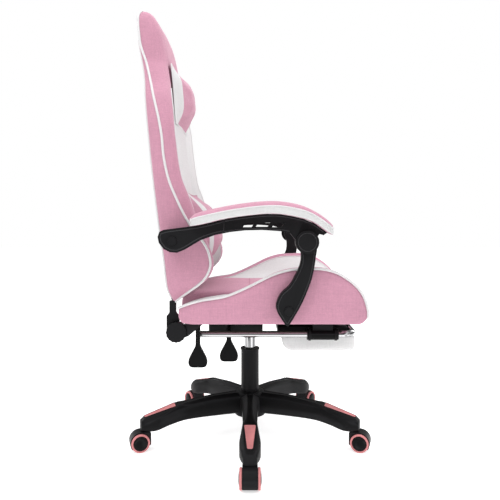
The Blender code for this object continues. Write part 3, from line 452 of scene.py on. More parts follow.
def body_of(node):
    for body, names in frame["record"]["behaviour"]["bodies"].items():
        if node in names:
            return body
    raise ValueError(node)


# ---- stuffing by cloth simulation
SOFT = []


def held(row_count, count, columns):
    """Some columns of a skin, with both end rows and the two points that close them."""
    last = row_count * count
    ends = {*range(count), *range(last - count, last + 2)}
    return ends | {i * count + j for i in range(row_count) for j in columns}


def stuff(obj, pinned, cap, pressure=4.0, widest=1.0):
    """Note a piece for the simulation. Pinned vertices are held by seams or boards."""
    SOFT.append((obj, pinned, cap, pressure, widest))


def run_simulation(frames=20):
    scene = bpy.context.scene
    for obj, pinned, _, pressure, _ in SOFT:
        group = obj.vertex_groups.new(name="seams")
        group.add(list(pinned), 1.0, "REPLACE")
        modifier = obj.modifiers.new("cloth", "CLOTH")
        settings = modifier.settings
        settings.quality = 6
        settings.mass = 0.25
        settings.tension_stiffness = 12
        settings.compression_stiffness = 12
        settings.shear_stiffness = 6
        settings.bending_stiffness = 0.6
        settings.use_pressure = True
        settings.uniform_pressure_force = pressure
        settings.effector_weights.gravity = 0.0
        settings.vertex_group_mass = "seams"
        settings.pin_stiffness = 30
        modifier.collision_settings.use_collision = False
        modifier.point_cache.frame_start = 1
        modifier.point_cache.frame_end = frames
    for number in range(1, frames + 1):
        scene.frame_set(number)
    graph = bpy.context.evaluated_depsgraph_get()
    moved = [[v.co.copy() for v in soft[0].evaluated_get(graph).data.vertices] for soft in SOFT]
    for (obj, _, cap, _, widest), places in zip(SOFT, moved):
        obj.modifiers.clear()
        for vertex, place in zip(obj.data.vertices, places):
            step = place - vertex.co
            length = step.length
            if length > 0:
                step *= cap * math.tanh(length / cap) / length
            vertex.co += step
            vertex.co.y = min(max(vertex.co.y, -widest), widest)
        obj.data.update()
        obj.vertex_groups.clear()
    scene.frame_set(1)


# ---- back
BACK_LOW, BACK_TOP = 0.437, 1.243
SLOT_LOW, SLOT_HIGH = 0.99, 1.078
SLOT_INNER, SLOT_OUTER = 0.1135, 0.146
back_rear = curve_through([
    (0.437, -0.205), (0.479, -0.221), (0.552, -0.231), (0.63, -0.241), (0.791, -0.259),
    (0.951, -0.276), (1.046, -0.29), (1.1145, -0.305), (1.196, -0.317), (1.225, -0.318),
    (BACK_TOP, -0.31)])
wing_front = curve_through([
    (0.44, -0.196), (0.464, -0.161), (0.499, -0.113), (0.542, -0.094), (0.602, -0.113),
    (0.66, -0.138), (0.72, -0.16), (0.774, -0.18), (0.875, -0.195), (0.946, -0.202),
    (1.03, -0.216), (1.078, -0.227), (1.132, -0.238), (1.177, -0.247), (1.215, -0.262),
    (1.235, -0.276), (BACK_TOP, -0.29)])
core_front = curve_through([
    (0.442, -0.194), (0.468, -0.175), (0.5, -0.16), (0.7, -0.187), (0.885, -0.2115), (1.085, -0.2275),
    (1.132, -0.237), (1.177, -0.247), (1.215, -0.262), (1.235, -0.276), (BACK_TOP, -0.29)])
side_piping = curve_through([
    (0.44, -0.1997), (0.464, -0.1667), (0.481, -0.1417), (0.499, -0.1186), (0.5205, -0.105),
    (0.542, -0.099), (0.58, -0.107), (0.602, -0.121), (0.646, -0.155), (0.677, -0.173),
    (0.713, -0.19), (0.747, -0.205), (0.784, -0.216), (0.827, -0.224), (0.871, -0.228),
    (0.919, -0.237), (0.97, -0.251), (1.088, -0.286), (1.132, -0.302), (1.16, -0.307),
    (1.225, -0.312), (BACK_TOP, -0.304)])
back_outer = curve_through([
    (0.44, 0.217), (0.47, 0.243), (0.52, 0.251), (0.85, 0.251), (0.93, 0.244), (0.985, 0.224),
    (1.035, 0.188), (SLOT_HIGH, 0.163), (1.1, 0.1525), (1.18, 0.149), (1.215, 0.142),
    (1.235, 0.132), (BACK_TOP, 0.116)])
core_half = line_through([
    (0.442, 0.165), (0.5, 0.175), (0.85, 0.168), (0.95, 0.15), (0.978, 0.138)])

# columns of half a row, from the middle of the rear to the middle of the front
REAR_SLOT_IN, REAR_SLOT_OUT, REAR_SEAM = 5, 7, 9
SIDE_SEAM = 15
INNER_SEAM = 22
FRONT_SLOT_OUT, FRONT_SLOT_IN = 26, 28
HALF_COLUMNS = 36                      # columns 0 to 36


def back_half_row(z):
    rear, front, outer = back_rear(z), wing_front(z), back_outer(z)
    core, pipe = core_front(z), side_piping(z)
    pipe = max(pipe, rear + 0.004)
    head = smooth_step(1.062, 1.096, z)
    slot = smooth_step(0.972, SLOT_LOW, z)
    corner = outer - 0.01
    points = []
    rear_in = min(SLOT_INNER, 0.78 * corner)
    rear_out = min(SLOT_OUTER, 0.965 * corner)
    stops = [(0, 0.0), (REAR_SLOT_IN, rear_in), (REAR_SLOT_OUT, rear_out), (REAR_SEAM, corner)]
    y_at = line_through(stops)
    for j in range(REAR_SEAM + 1):
        y = y_at(j)
        points.append((rear + 0.003 * (y / corner) ** 4, y))
    thickness = pipe - rear
    for j in range(REAR_SEAM + 1, SIDE_SEAM + 1):
        t = (j - REAR_SEAM) / (SIDE_SEAM - REAR_SEAM)
        y = mix(corner, outer, min(1.0, 2.6 * t) ** 0.5)
        points.append((rear + 0.003 + (thickness - 0.003) * t, y))
    roll = min(0.04, 0.3 * outer)
    top = Vector((front, outer - 0.5 * roll))
    lining = mix(1.0, 0.56, smooth_step(0.66, 0.74, z))
    seam = Vector((front - 0.004 * lining ** 3, outer - roll * lining))
    start = Vector((pipe, outer))
    bulge = Vector((mix(pipe, front, 0.72), outer - 0.004))
    roll_path = path_through([start, bulge, top, seam], INNER_SEAM - SIDE_SEAM + 1)
    points.extend((p.x, p.y) for p in roll_path[1:])
    half = mix(core_half(z), SLOT_INNER, slot)
    half = min(half, 0.76 * outer)
    gap_outer = mix(mix(half, seam.y, 0.4), SLOT_OUTER, slot)
    gap_outer = min(gap_outer, mix(half, seam.y, 0.6) if head > 0 else gap_outer)
    inner = Vector((mix(mix(core, front, 0.3), front - 0.003, head), gap_outer))
    inner.y = min(inner.y, seam.y - 0.001)
    for j in range(INNER_SEAM + 1, FRONT_SLOT_OUT + 1):
        t = (j - INNER_SEAM) / (FRONT_SLOT_OUT - INNER_SEAM)
        p = seam.lerp(inner, t)
        points.append((p.x, p.y))
    valley = Vector((core, half))
    for j in range(FRONT_SLOT_OUT + 1, FRONT_SLOT_IN + 1):
        t = (j - FRONT_SLOT_OUT) / (FRONT_SLOT_IN - FRONT_SLOT_OUT)
        p = inner.lerp(valley, t)
        points.append((p.x, p.y))
    for j in range(FRONT_SLOT_IN + 1, HALF_COLUMNS + 1):
        t = (j - FRONT_SLOT_IN) / (HALF_COLUMNS - FRONT_SLOT_IN)
        points.append((core + 0.004 * (1 - (1 - t) ** 2), half * (1 - t)))
    return points


def make_back():
    heights = [BACK_LOW, BACK_LOW + 0.0015, *spread(BACK_LOW, SLOT_LOW, 56)[1:],
               *spread(SLOT_LOW, SLOT_HIGH, 10)[1:], *spread(SLOT_HIGH, BACK_TOP - 0.006, 18)[1:],
               BACK_TOP - 0.002, BACK_TOP]
    slot_rows = [i for i, z in enumerate(heights) if SLOT_LOW - 1e-6 <= z <= SLOT_HIGH + 1e-6]
    low_row, high_row = slot_rows[0], slot_rows[-1]
    count = 2 * HALF_COLUMNS
    rows = []
    for z in heights:
        half = back_half_row(z)
        row = [(x, y, z) for x, y in half]
        row += [(x, -y, z) for x, y in reversed(half[1:-1])]
        rows.append(row)

    def mirrored(j):
        return (count - j) % count

    verts = [Vector(p) for row in rows for p in row]
    faces, paints = [], []
    holes = set()
    for i in range(low_row, high_row):
        for first, last in ((REAR_SLOT_IN, REAR_SLOT_OUT), (FRONT_SLOT_OUT, FRONT_SLOT_IN)):
            for j in range(first, last):
                holes.add((i, j))
                holes.add((i, count - 1 - j))
    white_top = 1.02
    for i in range(len(rows) - 1):
        for j in range(count):
            if (i, j) in holes:
                continue
            k = (j + 1) % count
            faces.append((i * count + j, i * count + k, (i + 1) * count + k, (i + 1) * count + j))
            across = j if j < HALF_COLUMNS else count - 1 - j
            is_white = INNER_SEAM <= across <= HALF_COLUMNS and heights[i] < white_top
            paints.append(1 if is_white else 0)
    # walls of the two harness slots, in the darker pink as painted shade
    def wall(loop_a, loop_b):
        for a, b, c, d in zip(loop_a, loop_a[1:] + loop_a[:1], loop_b[1:] + loop_b[:1], loop_b):
            faces.append((a, b, c, d))
            paints.append(2)

    def loop(first, last, flip):
        up = [i * count + flip(first) for i in range(low_row, high_row)]
        across = [high_row * count + flip(j) for j in range(first, last, 1 if last > first else -1)]
        down = [i * count + flip(last) for i in range(high_row, low_row, -1)]
        back = [low_row * count + flip(j) for j in range(last, first, -1 if last > first else 1)]
        return up + across + down + back

    same = lambda j: j
    for flip in (same, mirrored):
        wall(loop(FRONT_SLOT_IN, FRONT_SLOT_OUT, flip), loop(REAR_SLOT_IN, REAR_SLOT_OUT, flip))
    # the ends are closed across, rear to front
    for first in (0, (len(rows) - 1) * count):
        close_ring(verts, faces, first, count)
        paints += [0] * count
    back = face_outward(new_piece("back_upholstery", verts, faces, [PINK, WHITE, SHADED_PINK], paints))

    def column(j, first=0, last=None):
        return [i * count + j for i in range(first, len(rows) if last is None else last + 1)]

    seams = {}
    pinned = set()
    for side, flip in ((FAR, same), (NEAR, mirrored)):
        seams[side] = {
            "rear": column(flip(REAR_SEAM)), "side": column(flip(SIDE_SEAM)),
            "inner": column(flip(INNER_SEAM)),
            "valley": column(flip(FRONT_SLOT_IN), 0, low_row),
            "slot": loop(FRONT_SLOT_IN, FRONT_SLOT_OUT, flip),
            "slot_rear": loop(REAR_SLOT_IN, REAR_SLOT_OUT, flip)}
        for line in seams[side].values():
            pinned.update(line)
        for j in range(FRONT_SLOT_OUT, FRONT_SLOT_IN + 1):
            pinned.update((low_row * count + flip(j), high_row * count + flip(j)))
    for j in range(count):
        pinned.update((j, (len(rows) - 1) * count + j))
    neck_row = min(i for i, z in enumerate(heights) if z >= white_top)
    neck = [neck_row * count + j for j in range(FRONT_SLOT_IN, count - FRONT_SLOT_IN + 1)]
    pinned.update(neck)
    pinned.update((len(verts) - 2, len(verts) - 1))
    # the rear is a flat cover on a frame, so it hardly swells
    for i in range(len(rows)):
        for j in range(-REAR_SEAM, REAR_SEAM + 1):
            pinned.add(i * count + (j % count))
    stuff(back, pinned, 0.016, 5.0)
    return back, seams, neck


# ---- seat
crest = curve_through([
    (-0.185, 0.43), (-0.164, 0.439), (-0.128, 0.45), (-0.097, 0.455), (-0.064, 0.461), (-0.031, 0.474),
    (0.0, 0.489), (0.031, 0.505), (0.064, 0.521), (0.103, 0.532), (0.128, 0.534), (0.169, 0.535),
    (0.192, 0.533), (0.2205, 0.525), (0.2436, 0.512), (0.269, 0.492), (0.287, 0.469), (0.2974, 0.443),
    (0.3026, 0.418)])
bolster_foot = line_through([
    (-0.185, 0.404), (-0.176, 0.3885), (-0.15, 0.3855), (0.283, 0.3855), (0.294, 0.391), (0.3026, 0.402)])
SEAT_HALF, PAN_HALF = 0.26, 0.165
PAN_HEIGHT = 0.4575
BOLSTER_SEAM, BAND_SEAM = 6, 8        # columns of the crest piping and of the inner edge of the band


def bolster_row(x, side):
    top, low = crest(x), bolster_foot(x)
    height = top - low
    foot = max(low + 0.004, min(top - 0.006, PAN_HEIGHT - 0.004))
    nip = min(0.005, 0.3 * height)
    half_rows = [(SEAT_HALF - 0.03, low), (SEAT_HALF - 0.006, low), (SEAT_HALF, low + nip),
                 (SEAT_HALF + 0.0005, low + 0.28 * height), (SEAT_HALF + 0.0005, low + 0.55 * height),
                 (SEAT_HALF, low + 0.8 * height), (SEAT_HALF, top),
                 (SEAT_HALF - 0.012, top + 0.001), (SEAT_HALF - 0.022, top - 0.009)]
    slope_top = half_rows[-1]
    for t in (0.2, 0.4, 0.6, 0.8, 1.0):
        y = mix(slope_top[0], PAN_HALF, t)
        hollow = 0.01 * min(1.0, (slope_top[1] - foot) / 0.05)
        z = mix(slope_top[1], foot, t) - hollow * math.sin(math.pi * t)
        half_rows.append((y, z))
    half_rows += [(PAN_HALF, mix(foot, low, 0.5)), (PAN_HALF, low), (mix(PAN_HALF, SEAT_HALF, 0.35), low)]
    return [(x, side * y, z) for y, z in half_rows]


def make_bolster(side):
    stations = [-0.1845, -0.18, -0.174, *spread(-0.166, 0.27, 52),
                0.277, 0.283, 0.288, 0.293, 0.297, 0.3, 0.3022]
    rows = [bolster_row(x, side) for x in stations]
    count = len(rows[0])

    def paint(i, j):
        return 1 if BAND_SEAM <= j <= 12 else 0

    piece = skin(f"seat_bolster_cover_{SIDE_WORD[side]}", rows, [PINK, WHITE], paint)
    stuff(piece, held(len(rows), count, (0, 1, BOLSTER_SEAM, BAND_SEAM, 13, 14, 15, 16)), 0.008, 4.0,
          SEAT_HALF + 0.0022)
    lines = {"crest": [i * count + BOLSTER_SEAM for i in range(len(rows))],
             "band": [i * count + BAND_SEAM for i in range(3, len(rows) - 2)],
             "nose": [(len(rows) - 1) * count + j for j in (5, 4, 3, 2)]}
    return piece, lines


def make_pan():
    """The pan's cushion: a loft along Y of its side outline, crowned, with a seam across."""
    nose = [(0.25, 0.3858), (0.264, 0.392), (0.276, 0.402), (0.29, 0.411), (0.3005, 0.424),
            (0.3015, 0.438), (0.293, 0.451), (0.27, 0.4585)]
    top = [(x, PAN_HEIGHT + 0.001) for x in spread(0.25, -0.163, 24)]
    rear = [(-0.178, 0.4535), (-0.187, 0.444), (-0.1885, 0.42), (-0.1885, 0.3858)]
    bottom = [(x, 0.3858) for x in spread(-0.156, 0.23, 12)]
    outline = nose + top + rear + bottom
    rows = []
    ys = spread(-PAN_HALF + 0.0004, PAN_HALF - 0.0004, 23)
    for y in ys:
        rows.append([(x, y, z) for x, z in outline])
    count = len(outline)
    piece = skin("seat_pan_cover", rows, [PINK], lambda i, j: 0)
    seam = len(nose) + 14                       # the top's point nearest to the cross seam
    flat = range(len(nose) + len(top) + 1, count)
    stuff(piece, held(len(rows), count, (0, seam, *flat)), 0.008, 3.0)
    return piece, [i * count + seam for i in range(len(rows))]


# ---- pillows
def make_pillow(name, node_origin, tilt, width, height, depth, end_depth, bands, seam_bow):
    """Two sheets sewn together. bands are the white stripes' edges as fractions of half the width."""
    columns, levels = 40, 24
    verts, faces, paints = [], [], []
    us = [-1 + 2 * i / columns for i in range(columns + 1)]
    vs = [-1 + 2 * j / levels for j in range(levels + 1)]

    def place(u, v, front):
        window = math.exp(-((abs(u) - 0.76) / 0.14) ** 2)
        u += math.copysign(seam_bow * (1 - v * v) * window, u)
        pulled = 1 - 0.035 * (1 - v * v) * abs(u) ** 3
        squeezed = 1 - 0.045 * (1 - u * u) * abs(v) ** 3
        y = 0.5 * width * u * pulled
        z = 0.5 * height * v * squeezed
        edge = max(0.0, 1 - abs(u) ** 3.2) ** 0.55 * max(0.0, 1 - abs(v) ** 2.1) ** 0.62
        thick = mix(end_depth, depth, 1 - abs(u) ** 2.2) * edge
        x = thick if front else 0.0
        rim = 0.12 * end_depth
        x = rim + (x - rim) * min(1.0, edge * 1.6) if front else rim * (1 - min(1.0, edge * 1.6))
        return Vector((x, y, z + 0.5 * height))

    number = {}
    for front in (True, False):
        for i, u in enumerate(us):
            for j, v in enumerate(vs):
                on_rim = i in (0, columns) or j in (0, levels)
                if on_rim and not front:
                    number[(i, j, False)] = number[(i, j, True)]
                    continue
                number[(i, j, front)] = len(verts)
                verts.append(place(u, v, front))
    for front in (True, False):
        for i in range(columns):
            for j in range(levels):
                quad = [number[(i, j, front)], number[(i + 1, j, front)],
                        number[(i + 1, j + 1, front)], number[(i, j + 1, front)]]
                if not front:
                    quad.reverse()
                faces.append(tuple(quad))
                middle = abs(us[i] + us[i + 1]) / 2
                paints.append(1 if bands and bands[0] <= middle <= bands[1] else 0)
    piece = new_piece(name, verts, faces, [PINK, WHITE], paints)
    turn = Matrix.Translation(node_origin) @ Matrix.Rotation(-tilt, 4, "Y")
    piece.data.transform(turn)
    face_outward(piece)
    rim = [number[(i, 0, True)] for i in range(columns)] \
        + [number[(columns, j, True)] for j in range(levels)] \
        + [number[(i, levels, True)] for i in range(columns, 0, -1)] \
        + [number[(0, j, True)] for j in range(levels, 0, -1)]
    seams = []
    for edge in [edge for edge in bands if edge < 1.0]:
        nearest = min(range(columns + 1), key=lambda i: abs(us[i] - edge))
        for i in (nearest, columns - nearest):
            seams.append([number[(i, j, True)] for j in range(levels + 1)])
    pinned = set()
    for i in range(columns + 1):
        for j in range(levels + 1):
            pinned.add(number[(i, j, False)])
    for line in seams:
        pinned.update(line[::2])
    stuff(piece, pinned, 0.01, 5.0)
    return piece, rim


# ---- arms
arm_top = curve_through([
    (-0.215, 0.632), (-0.124, 0.6445), (-0.062, 0.659), (0.025, 0.6703), (0.075, 0.6708),
    (0.1485, 0.654), (0.191, 0.6255), (0.206, 0.618)])
pad_top = curve_through([
    (-0.1475, 0.66), (-0.142, 0.669), (-0.13, 0.6755), (-0.1064, 0.6815), (-0.022, 0.6975),
    (0.062, 0.7045),
    (0.126, 0.6945), (0.165, 0.6765), (0.19, 0.659), (0.2035, 0.6455), (0.2065, 0.638)])
PAD_INNER, PAD_WIDTH = 0.262, 0.088
PAD_SEAM_OUT, PAD_SEAM_IN = 5, 13


def make_arm_pad(side):
    stations = [-0.146, -0.1445, -0.142, -0.138, -0.133, -0.126, *spread(-0.118, 0.186, 34),
                0.192, 0.197, 0.201, 0.204]
    rows = []
    middle = PAD_INNER + PAD_WIDTH / 2
    for x in stations:
        inset = 0.016 * max(0.0, 1 - (x + 0.146) / 0.016) ** 2 + 0.02 * smooth_step(0.18, 0.212, x) ** 1.6
        half = PAD_WIDTH / 2 - inset
        low = arm_top(x) + 0.0006
        high = max(pad_top(x) - 0.001, low + 0.006)
        seam = mix(low, high, 0.62)
        lift = high - seam
        section = [(0.0, low), (0.6 * half, low), (half - 0.003, low), (half, low + 0.15 * (seam - low)),
                   (half + 0.0005, mix(low, seam, 0.6)), (half - 0.0005, seam),
                   (half - 0.006, seam + 0.5 * lift), (0.7 * half, seam + 0.8 * lift),
                   (0.36 * half, seam + 0.96 * lift), (0.0, high)]
        row = section + [(-y, z) for y, z in reversed(section[1:-1])]
        rows.append([(x, side * (middle + y), z) for y, z in row])
    count = len(rows[0])

    def paint(i, j):
        return 1 if j in (2, 3, 4) or j in (13, 14, 15) else 0

    # the pad's band is in the darker copy of the white linen, painted shade
    piece = skin(f"arm_pad_cover_{SIDE_WORD[side]}", rows, [PINK, SHADED_PAD_WHITE], paint)
    stuff(piece, held(len(rows), count, (0, 1, 2, PAD_SEAM_OUT, PAD_SEAM_IN, 16, 17)), 0.003, 2.5)
    outer, inner = ([i * count + j for i in range(len(rows))] for j in (PAD_SEAM_OUT, PAD_SEAM_IN))
    across = range(PAD_SEAM_OUT + 1, PAD_SEAM_IN)
    return piece, outer + [(len(rows) - 1) * count + j for j in across] + inner[::-1] + list(across)[::-1]


# ---- footrest pad
def make_foot_pad():
    half, front, rear, low, top = 0.1465, 0.2915, 0.0885, 0.2915, 0.3338
    outline = [(front - 0.012, low), (front - 0.004, low + 0.002), (front, low + 0.008),
               (front + 0.0004, mix(low, top, 0.55)), (front, top - 0.004), (front - 0.003, top)]
    outline += [(x, top) for x in spread(front - 0.018, rear + 0.016, 13)]
    outline += [(rear + 0.003, top), (rear, top - 0.005), (rear + 0.001, top - 0.016),
                (rear + 0.004, low + 0.014), (rear + 0.011, low + 0.005), (rear + 0.022, low + 0.0005)]
    outline += [(x, low) for x in spread(rear + 0.036, front - 0.026, 11)]
    rows = []
    for y in [-half + t for t in (0.0, 0.0015, 0.005, 0.011)] + spread(-half + 0.022, half - 0.022, 19) \
            + [half - t for t in (0.011, 0.005, 0.0015, 0.0)]:
        edge = min(half - abs(y), 0.011) / 0.011
        shrink = 0.006 * (1 - math.sqrt(max(0.0, 1 - (1 - edge) ** 2)))
        row = []
        for x, z in outline:
            z_new = z + shrink if z < mix(low, top, 0.4) else z
            row.append((x + (shrink if x < rear + 0.03 else -shrink if x > front - 0.02 else 0.0), y, z_new))
        rows.append(row)
    count = len(outline)
    piece = skin("footrest_cushion", rows, [GREY_LINEN], lambda i, j: 0)
    stuff(piece, held(len(rows), count, range(4, 21)), 0.005, 3.0)
    return piece, [[i * count + j for j in (*range(6), *range(18, count))] for i in (3, len(rows) - 4)]


back, back_seams, neck_seam = make_back()
bolsters = {side: make_bolster(side) for side in (NEAR, FAR)}
pan, pan_seam = make_pan()
HEAD_LOW, LUMBAR_LOW = (Vector(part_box(f"{name}_pillow")[0]) for name in ("head", "lumbar"))
HEAD_TILT, LUMBAR_TILT = math.radians(4.6), math.radians(7.8)


def pillow_place(low, height, tilt):
    """Where a tilted pillow's sheets start, 0.5 mm clear of the back."""
    return low.x + height * math.sin(tilt) + 0.0005, 0.0, low.z


head_pillow, head_rim = make_pillow(
    "head_pillow_cover", pillow_place(HEAD_LOW, 0.172, HEAD_TILT), HEAD_TILT, 0.264, 0.172, 0.058, 0.028,
    (0.7, 1.0), 0.11)
lumbar_pillow, lumbar_rim = make_pillow(
    "lumbar_pillow_cover", pillow_place(LUMBAR_LOW, 0.236, LUMBAR_TILT), LUMBAR_TILT, 0.32, 0.236, 0.09,
    0.074, (0.7, 0.8), 0.0)
arm_pads = {side: make_arm_pad(side) for side in (NEAR, FAR)}
foot_pad, foot_seams = make_foot_pad()

run_simulation()
for soft_piece, *_ in SOFT:
    subdivide(soft_piece)


def along(obj, indices, lift=0.0):
    """Final places of a line of vertices, raised along their normals."""
    return [obj.data.vertices[i].co + obj.data.vertices[i].normal * lift for i in indices]


settle(back, "back", "pink_fabric", "back_cushion", "back_neck", "headrest", "back_wing_left",
       "back_wing_right")
for side, word in SIDES:
    lines = back_seams[side]
    for name, line, lift, radius in (("side", lines["side"], 0.0008, PIPING_RADIUS),
                                     ("rear", lines["rear"][:-11], 0.0004, PIPING_RADIUS),
                                     ("inner", lines["inner"][:-26], 0.0005, 0.0018)):
        tube_piece(f"back_{name}_piping_{word}", along(back, line, lift), radius, PIPING, "back")
    # the slot rims are in the darker pink, painted shade
    for name, line, radius in (("slot", "slot", 0.0032), ("slot_rear", "slot_rear", 0.0028)):
        tube_piece(f"harness_{name}_rim_{word}", along(back, lines[line], 0.001), radius, SHADED_PINK, "back",
                   cyclic=True)
tube_piece("neck_seam_piping", along(back, neck_seam, 0.0002), 0.0018, PIPING, "back")

for side, word in SIDES:
    piece, lines = bolsters[side]
    settle(piece, "seat", "pink_fabric", f"seat_bolster_{word}")
    edge = along(piece, lines["crest"] + lines["nose"], 0.0012)
    for point in edge:
        point.y = side * max(abs(point.y), SEAT_HALF + 0.0014)
    tube_piece(f"seat_crest_piping_{word}", edge, PIPING_RADIUS, PIPING, "seat")
    tube_piece(f"seat_band_piping_{word}", along(piece, lines["band"], 0.0002), 0.0018, PIPING, "seat")
settle(pan, "seat", "pink_fabric", "seat_cushion")
# the cross seam is a line of painted shade in the darker pink
tube_piece("pan_cross_seam", along(pan, pan_seam), 0.0011, SHADED_PINK, "seat")

settle(head_pillow, "head_pillow", "pink_fabric", "head_pillow")
tube_piece("head_pillow_edge", along(head_pillow, head_rim), 0.0017, PIPING, "head_pillow", cyclic=True)
settle(lumbar_pillow, "lumbar_pillow", "pink_fabric", "lumbar_pillow")
# the lumbar pillow's edge is in the darker pink, painted shade
tube_piece("lumbar_pillow_edge", along(lumbar_pillow, lumbar_rim), 0.0017, SHADED_PINK,
           "lumbar_pillow", cyclic=True)
for side, word in SIDES:
    piece, ring = arm_pads[side]
    settle(piece, f"arm_{word}", "pink_fabric", f"arm_pad_{word}")
    tube_piece(f"arm_pad_piping_{word}", along(piece, ring, 0.0003), 0.0016, PIPING, f"arm_{word}",
               cyclic=True)
settle(foot_pad, "footrest", "white_fabric", "footrest_pad")
for number, line in enumerate(foot_seams):
    tube_piece(f"footrest_edge_seam_{number + 1}", along(foot_pad, line), 0.0012, WHITE, "footrest")


# ---- hard parts
def detailed(node, material, round_width=0.0):
    """A copy of a CAD node with merged flats, rounded edges and smooth rounds."""
    source = NODES[node]
    bm = bmesh.new()
    bm.from_mesh(source.data)
    bm.transform(source.matrix_world)
    bmesh.ops.remove_doubles(bm, verts=bm.verts, dist=0.00002)
    bmesh.ops.dissolve_limit(bm, angle_limit=math.radians(1.5), verts=bm.verts, edges=bm.edges)
    bmesh.ops.recalc_face_normals(bm, faces=bm.faces)
    mesh = bpy.data.meshes.new(f"{node}_body")
    bm.to_mesh(mesh)
    bm.free()
    mesh.materials.clear()
    mesh.materials.append(material)
    mesh.shade_smooth()
    mesh.set_sharp_from_angle(angle=math.radians(35))
    obj = add_object(f"{node}_body", mesh)
    if round_width:
        modifier = obj.modifiers.new("round", "BEVEL")
        modifier.width = round_width
        modifier.segments = 2
        modifier.limit_method = "ANGLE"
        modifier.angle_limit = math.radians(32)
        modifier.harden_normals = True
        apply_modifiers(obj)
    settle(obj, body_of(node), SLOT_OF[material.name], node)
    return obj


def make_paddle(node, x, y, pivot_height):
    """A lever's hanging paddle with rounded corners, a sunk middle with a rim, and dots up its stem."""
    low, half, stem, thickness = 0.262, 0.0255, 0.0062, 0.009
    right = [(0.0, low), (half * 0.55, low + 0.0003), (half * 0.86, low + 0.0035), (half, low + 0.0135),
             (half * 0.9, low + 0.026), (half * 0.62, low + 0.04), (stem * 1.25, low + 0.056),
             (stem, low + 0.066), (stem, pivot_height + 0.003)]
    smooth = [tuple(point) for point in path_through(right, 30)]
    outline = smooth + [(-a, b) for a, b in reversed(smooth[1:])]
    count = len(outline)
    face_y, rear_y = y - thickness / 2, y + thickness / 2
    loops = [[(x + a, rear_y, b) for a, b in outline], [(x + a, face_y, b) for a, b in outline]]
    for amount, depth in ((0.0005, -0.0004), (0.0021, -0.0004), (0.0027, 0.0008)):
        loops.append([(x + a, face_y + depth, b) for a, b in inset_loop(outline, amount)])
    verts = [v for loop in loops for v in loop]
    faces = [tuple(range(count)), tuple(4 * count + i for i in range(count))]
    for level in range(len(loops) - 1):
        faces += band(level * count, (level + 1) * count, count)
    paddle = face_outward(new_piece(f"{node}_paddle", verts, faces, [NYLON_SMOOTH]))
    paddle.data.set_sharp_from_angle(angle=math.radians(40))
    settle(paddle, body_of(node), "black_nylon", node)
    rod_height = pivot_height - 0.004
    far_end = HEIGHT_LEVER_PIVOT if node == "height_lever" else y
    if far_end != y:
        rod = [(x, y, rod_height), (x, far_end, rod_height)]
        tube_piece(f"{node}_rod", rod, 0.0045, STEEL, body_of(node))
    for i in range(6):
        height = mix(low + 0.066, pivot_height - 0.01, i / 5)
        dot = [(x, face_y + 0.0004, height), (x, face_y - 0.0006, height)]
        # the dots are in the lighter nylon, a painted highlight
        tube_piece(f"{node}_dot_{i + 1}", dot, 0.0011, NYLON_HIGHLIGHT, body_of(node))


def lathe(name, profile, paints, materials, steps, place):
    """A shape of revolution about local Z, closed at both ends on the axis."""
    verts, faces, colors = [], [], []
    for radius, height in profile:
        for k in range(steps):
            angle = math.tau * k / steps
            verts.append(Vector((radius * math.cos(angle), radius * math.sin(angle), height)))
    for i in range(len(profile) - 1):
        faces += band(i * steps, (i + 1) * steps, steps)
        colors += [paints[i]] * steps
    obj = face_outward(new_piece(name, verts, faces, materials, colors), 0.00001)
    obj.data.transform(place)
    obj.data.set_sharp_from_angle(angle=math.radians(38))
    return obj


for side, word in SIDES:
    for node, material, width in (("arm_bracket", NYLON, 0.0022), ("arm_link", NYLON, 0.0026),
                                  ("arm_bolt", STEEL, 0.0008), ("link_bolt", STEEL, 0.0008),
                                  ("recline_adjuster", NYLON_SMOOTH, 0.0006), ("back_hinge", STEEL, 0.001),
                                  ("slide_sleeve", NYLON_SMOOTH, 0.0005)):
        detailed(f"{node}_{word}", material, width)
for node, material, width in (
        ("mechanism_housing", STEEL, 0.0008), ("seat_board", WOOD, 0.0),
        ("footrest_board", NYLON_SMOOTH, 0.0006), ("column_tube", STEEL, 0.0008),
        ("guide_bush", NYLON_SMOOTH, 0.0),
        ("gas_cylinder", CHROME, 0.0), ("gas_rod", CHROME, 0.0), ("recline_shaft", STEEL, 0.0)):
    detailed(node, material, width)


def make_rail():
    """One bent tube, smooth round its two corners, between the ends that the frame gives it."""
    low, high = (Vector(corner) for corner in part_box("footrest_rail"))
    radius, bend = 0.009, 0.034
    front, half, height = high.x - radius, high.y - radius, (low.z + high.z) / 2
    side = [(x, half) for x in spread(low.x, front - bend, 24)]
    corner = [(front - bend + bend * math.sin(t), half - bend + bend * math.cos(t))
              for t in spread(math.pi / 24, math.pi / 2, 12)]
    path = side + corner + [(front, y) for y in spread(half - bend, 0.0, 12)[1:]]
    path += [(x, -y) for x, y in reversed(path[:-1])]
    tube_piece("footrest_rail_tube", [(x, y, height) for x, y in path], radius, CHROME, "footrest_frame",
               "footrest_rail", sides=6)


make_rail()

make_paddle("height_lever", -0.0586, -0.14, 0.352)
make_paddle("recline_lever", -0.139, -0.2, 0.3705)
RAIL_HALF, RAIL_HEIGHT, SLEEVE_SHRINK = 0.17, 0.344, 0.83
for side, word in SIDES:
    centre = Vector((0.0, side * RAIL_HALF, RAIL_HEIGHT))
    shrink = Matrix.Diagonal((1.0, SLEEVE_SHRINK, SLEEVE_SHRINK, 1.0))
    bpy.data.objects[f"slide_sleeve_{word}_body"].data.transform(
        Matrix.Translation(centre) @ shrink @ Matrix.Translation(-centre))
for number in range(1, 6):
    detailed(f"caster_hood_{number}", NYLON_SMOOTH, 0.0011)

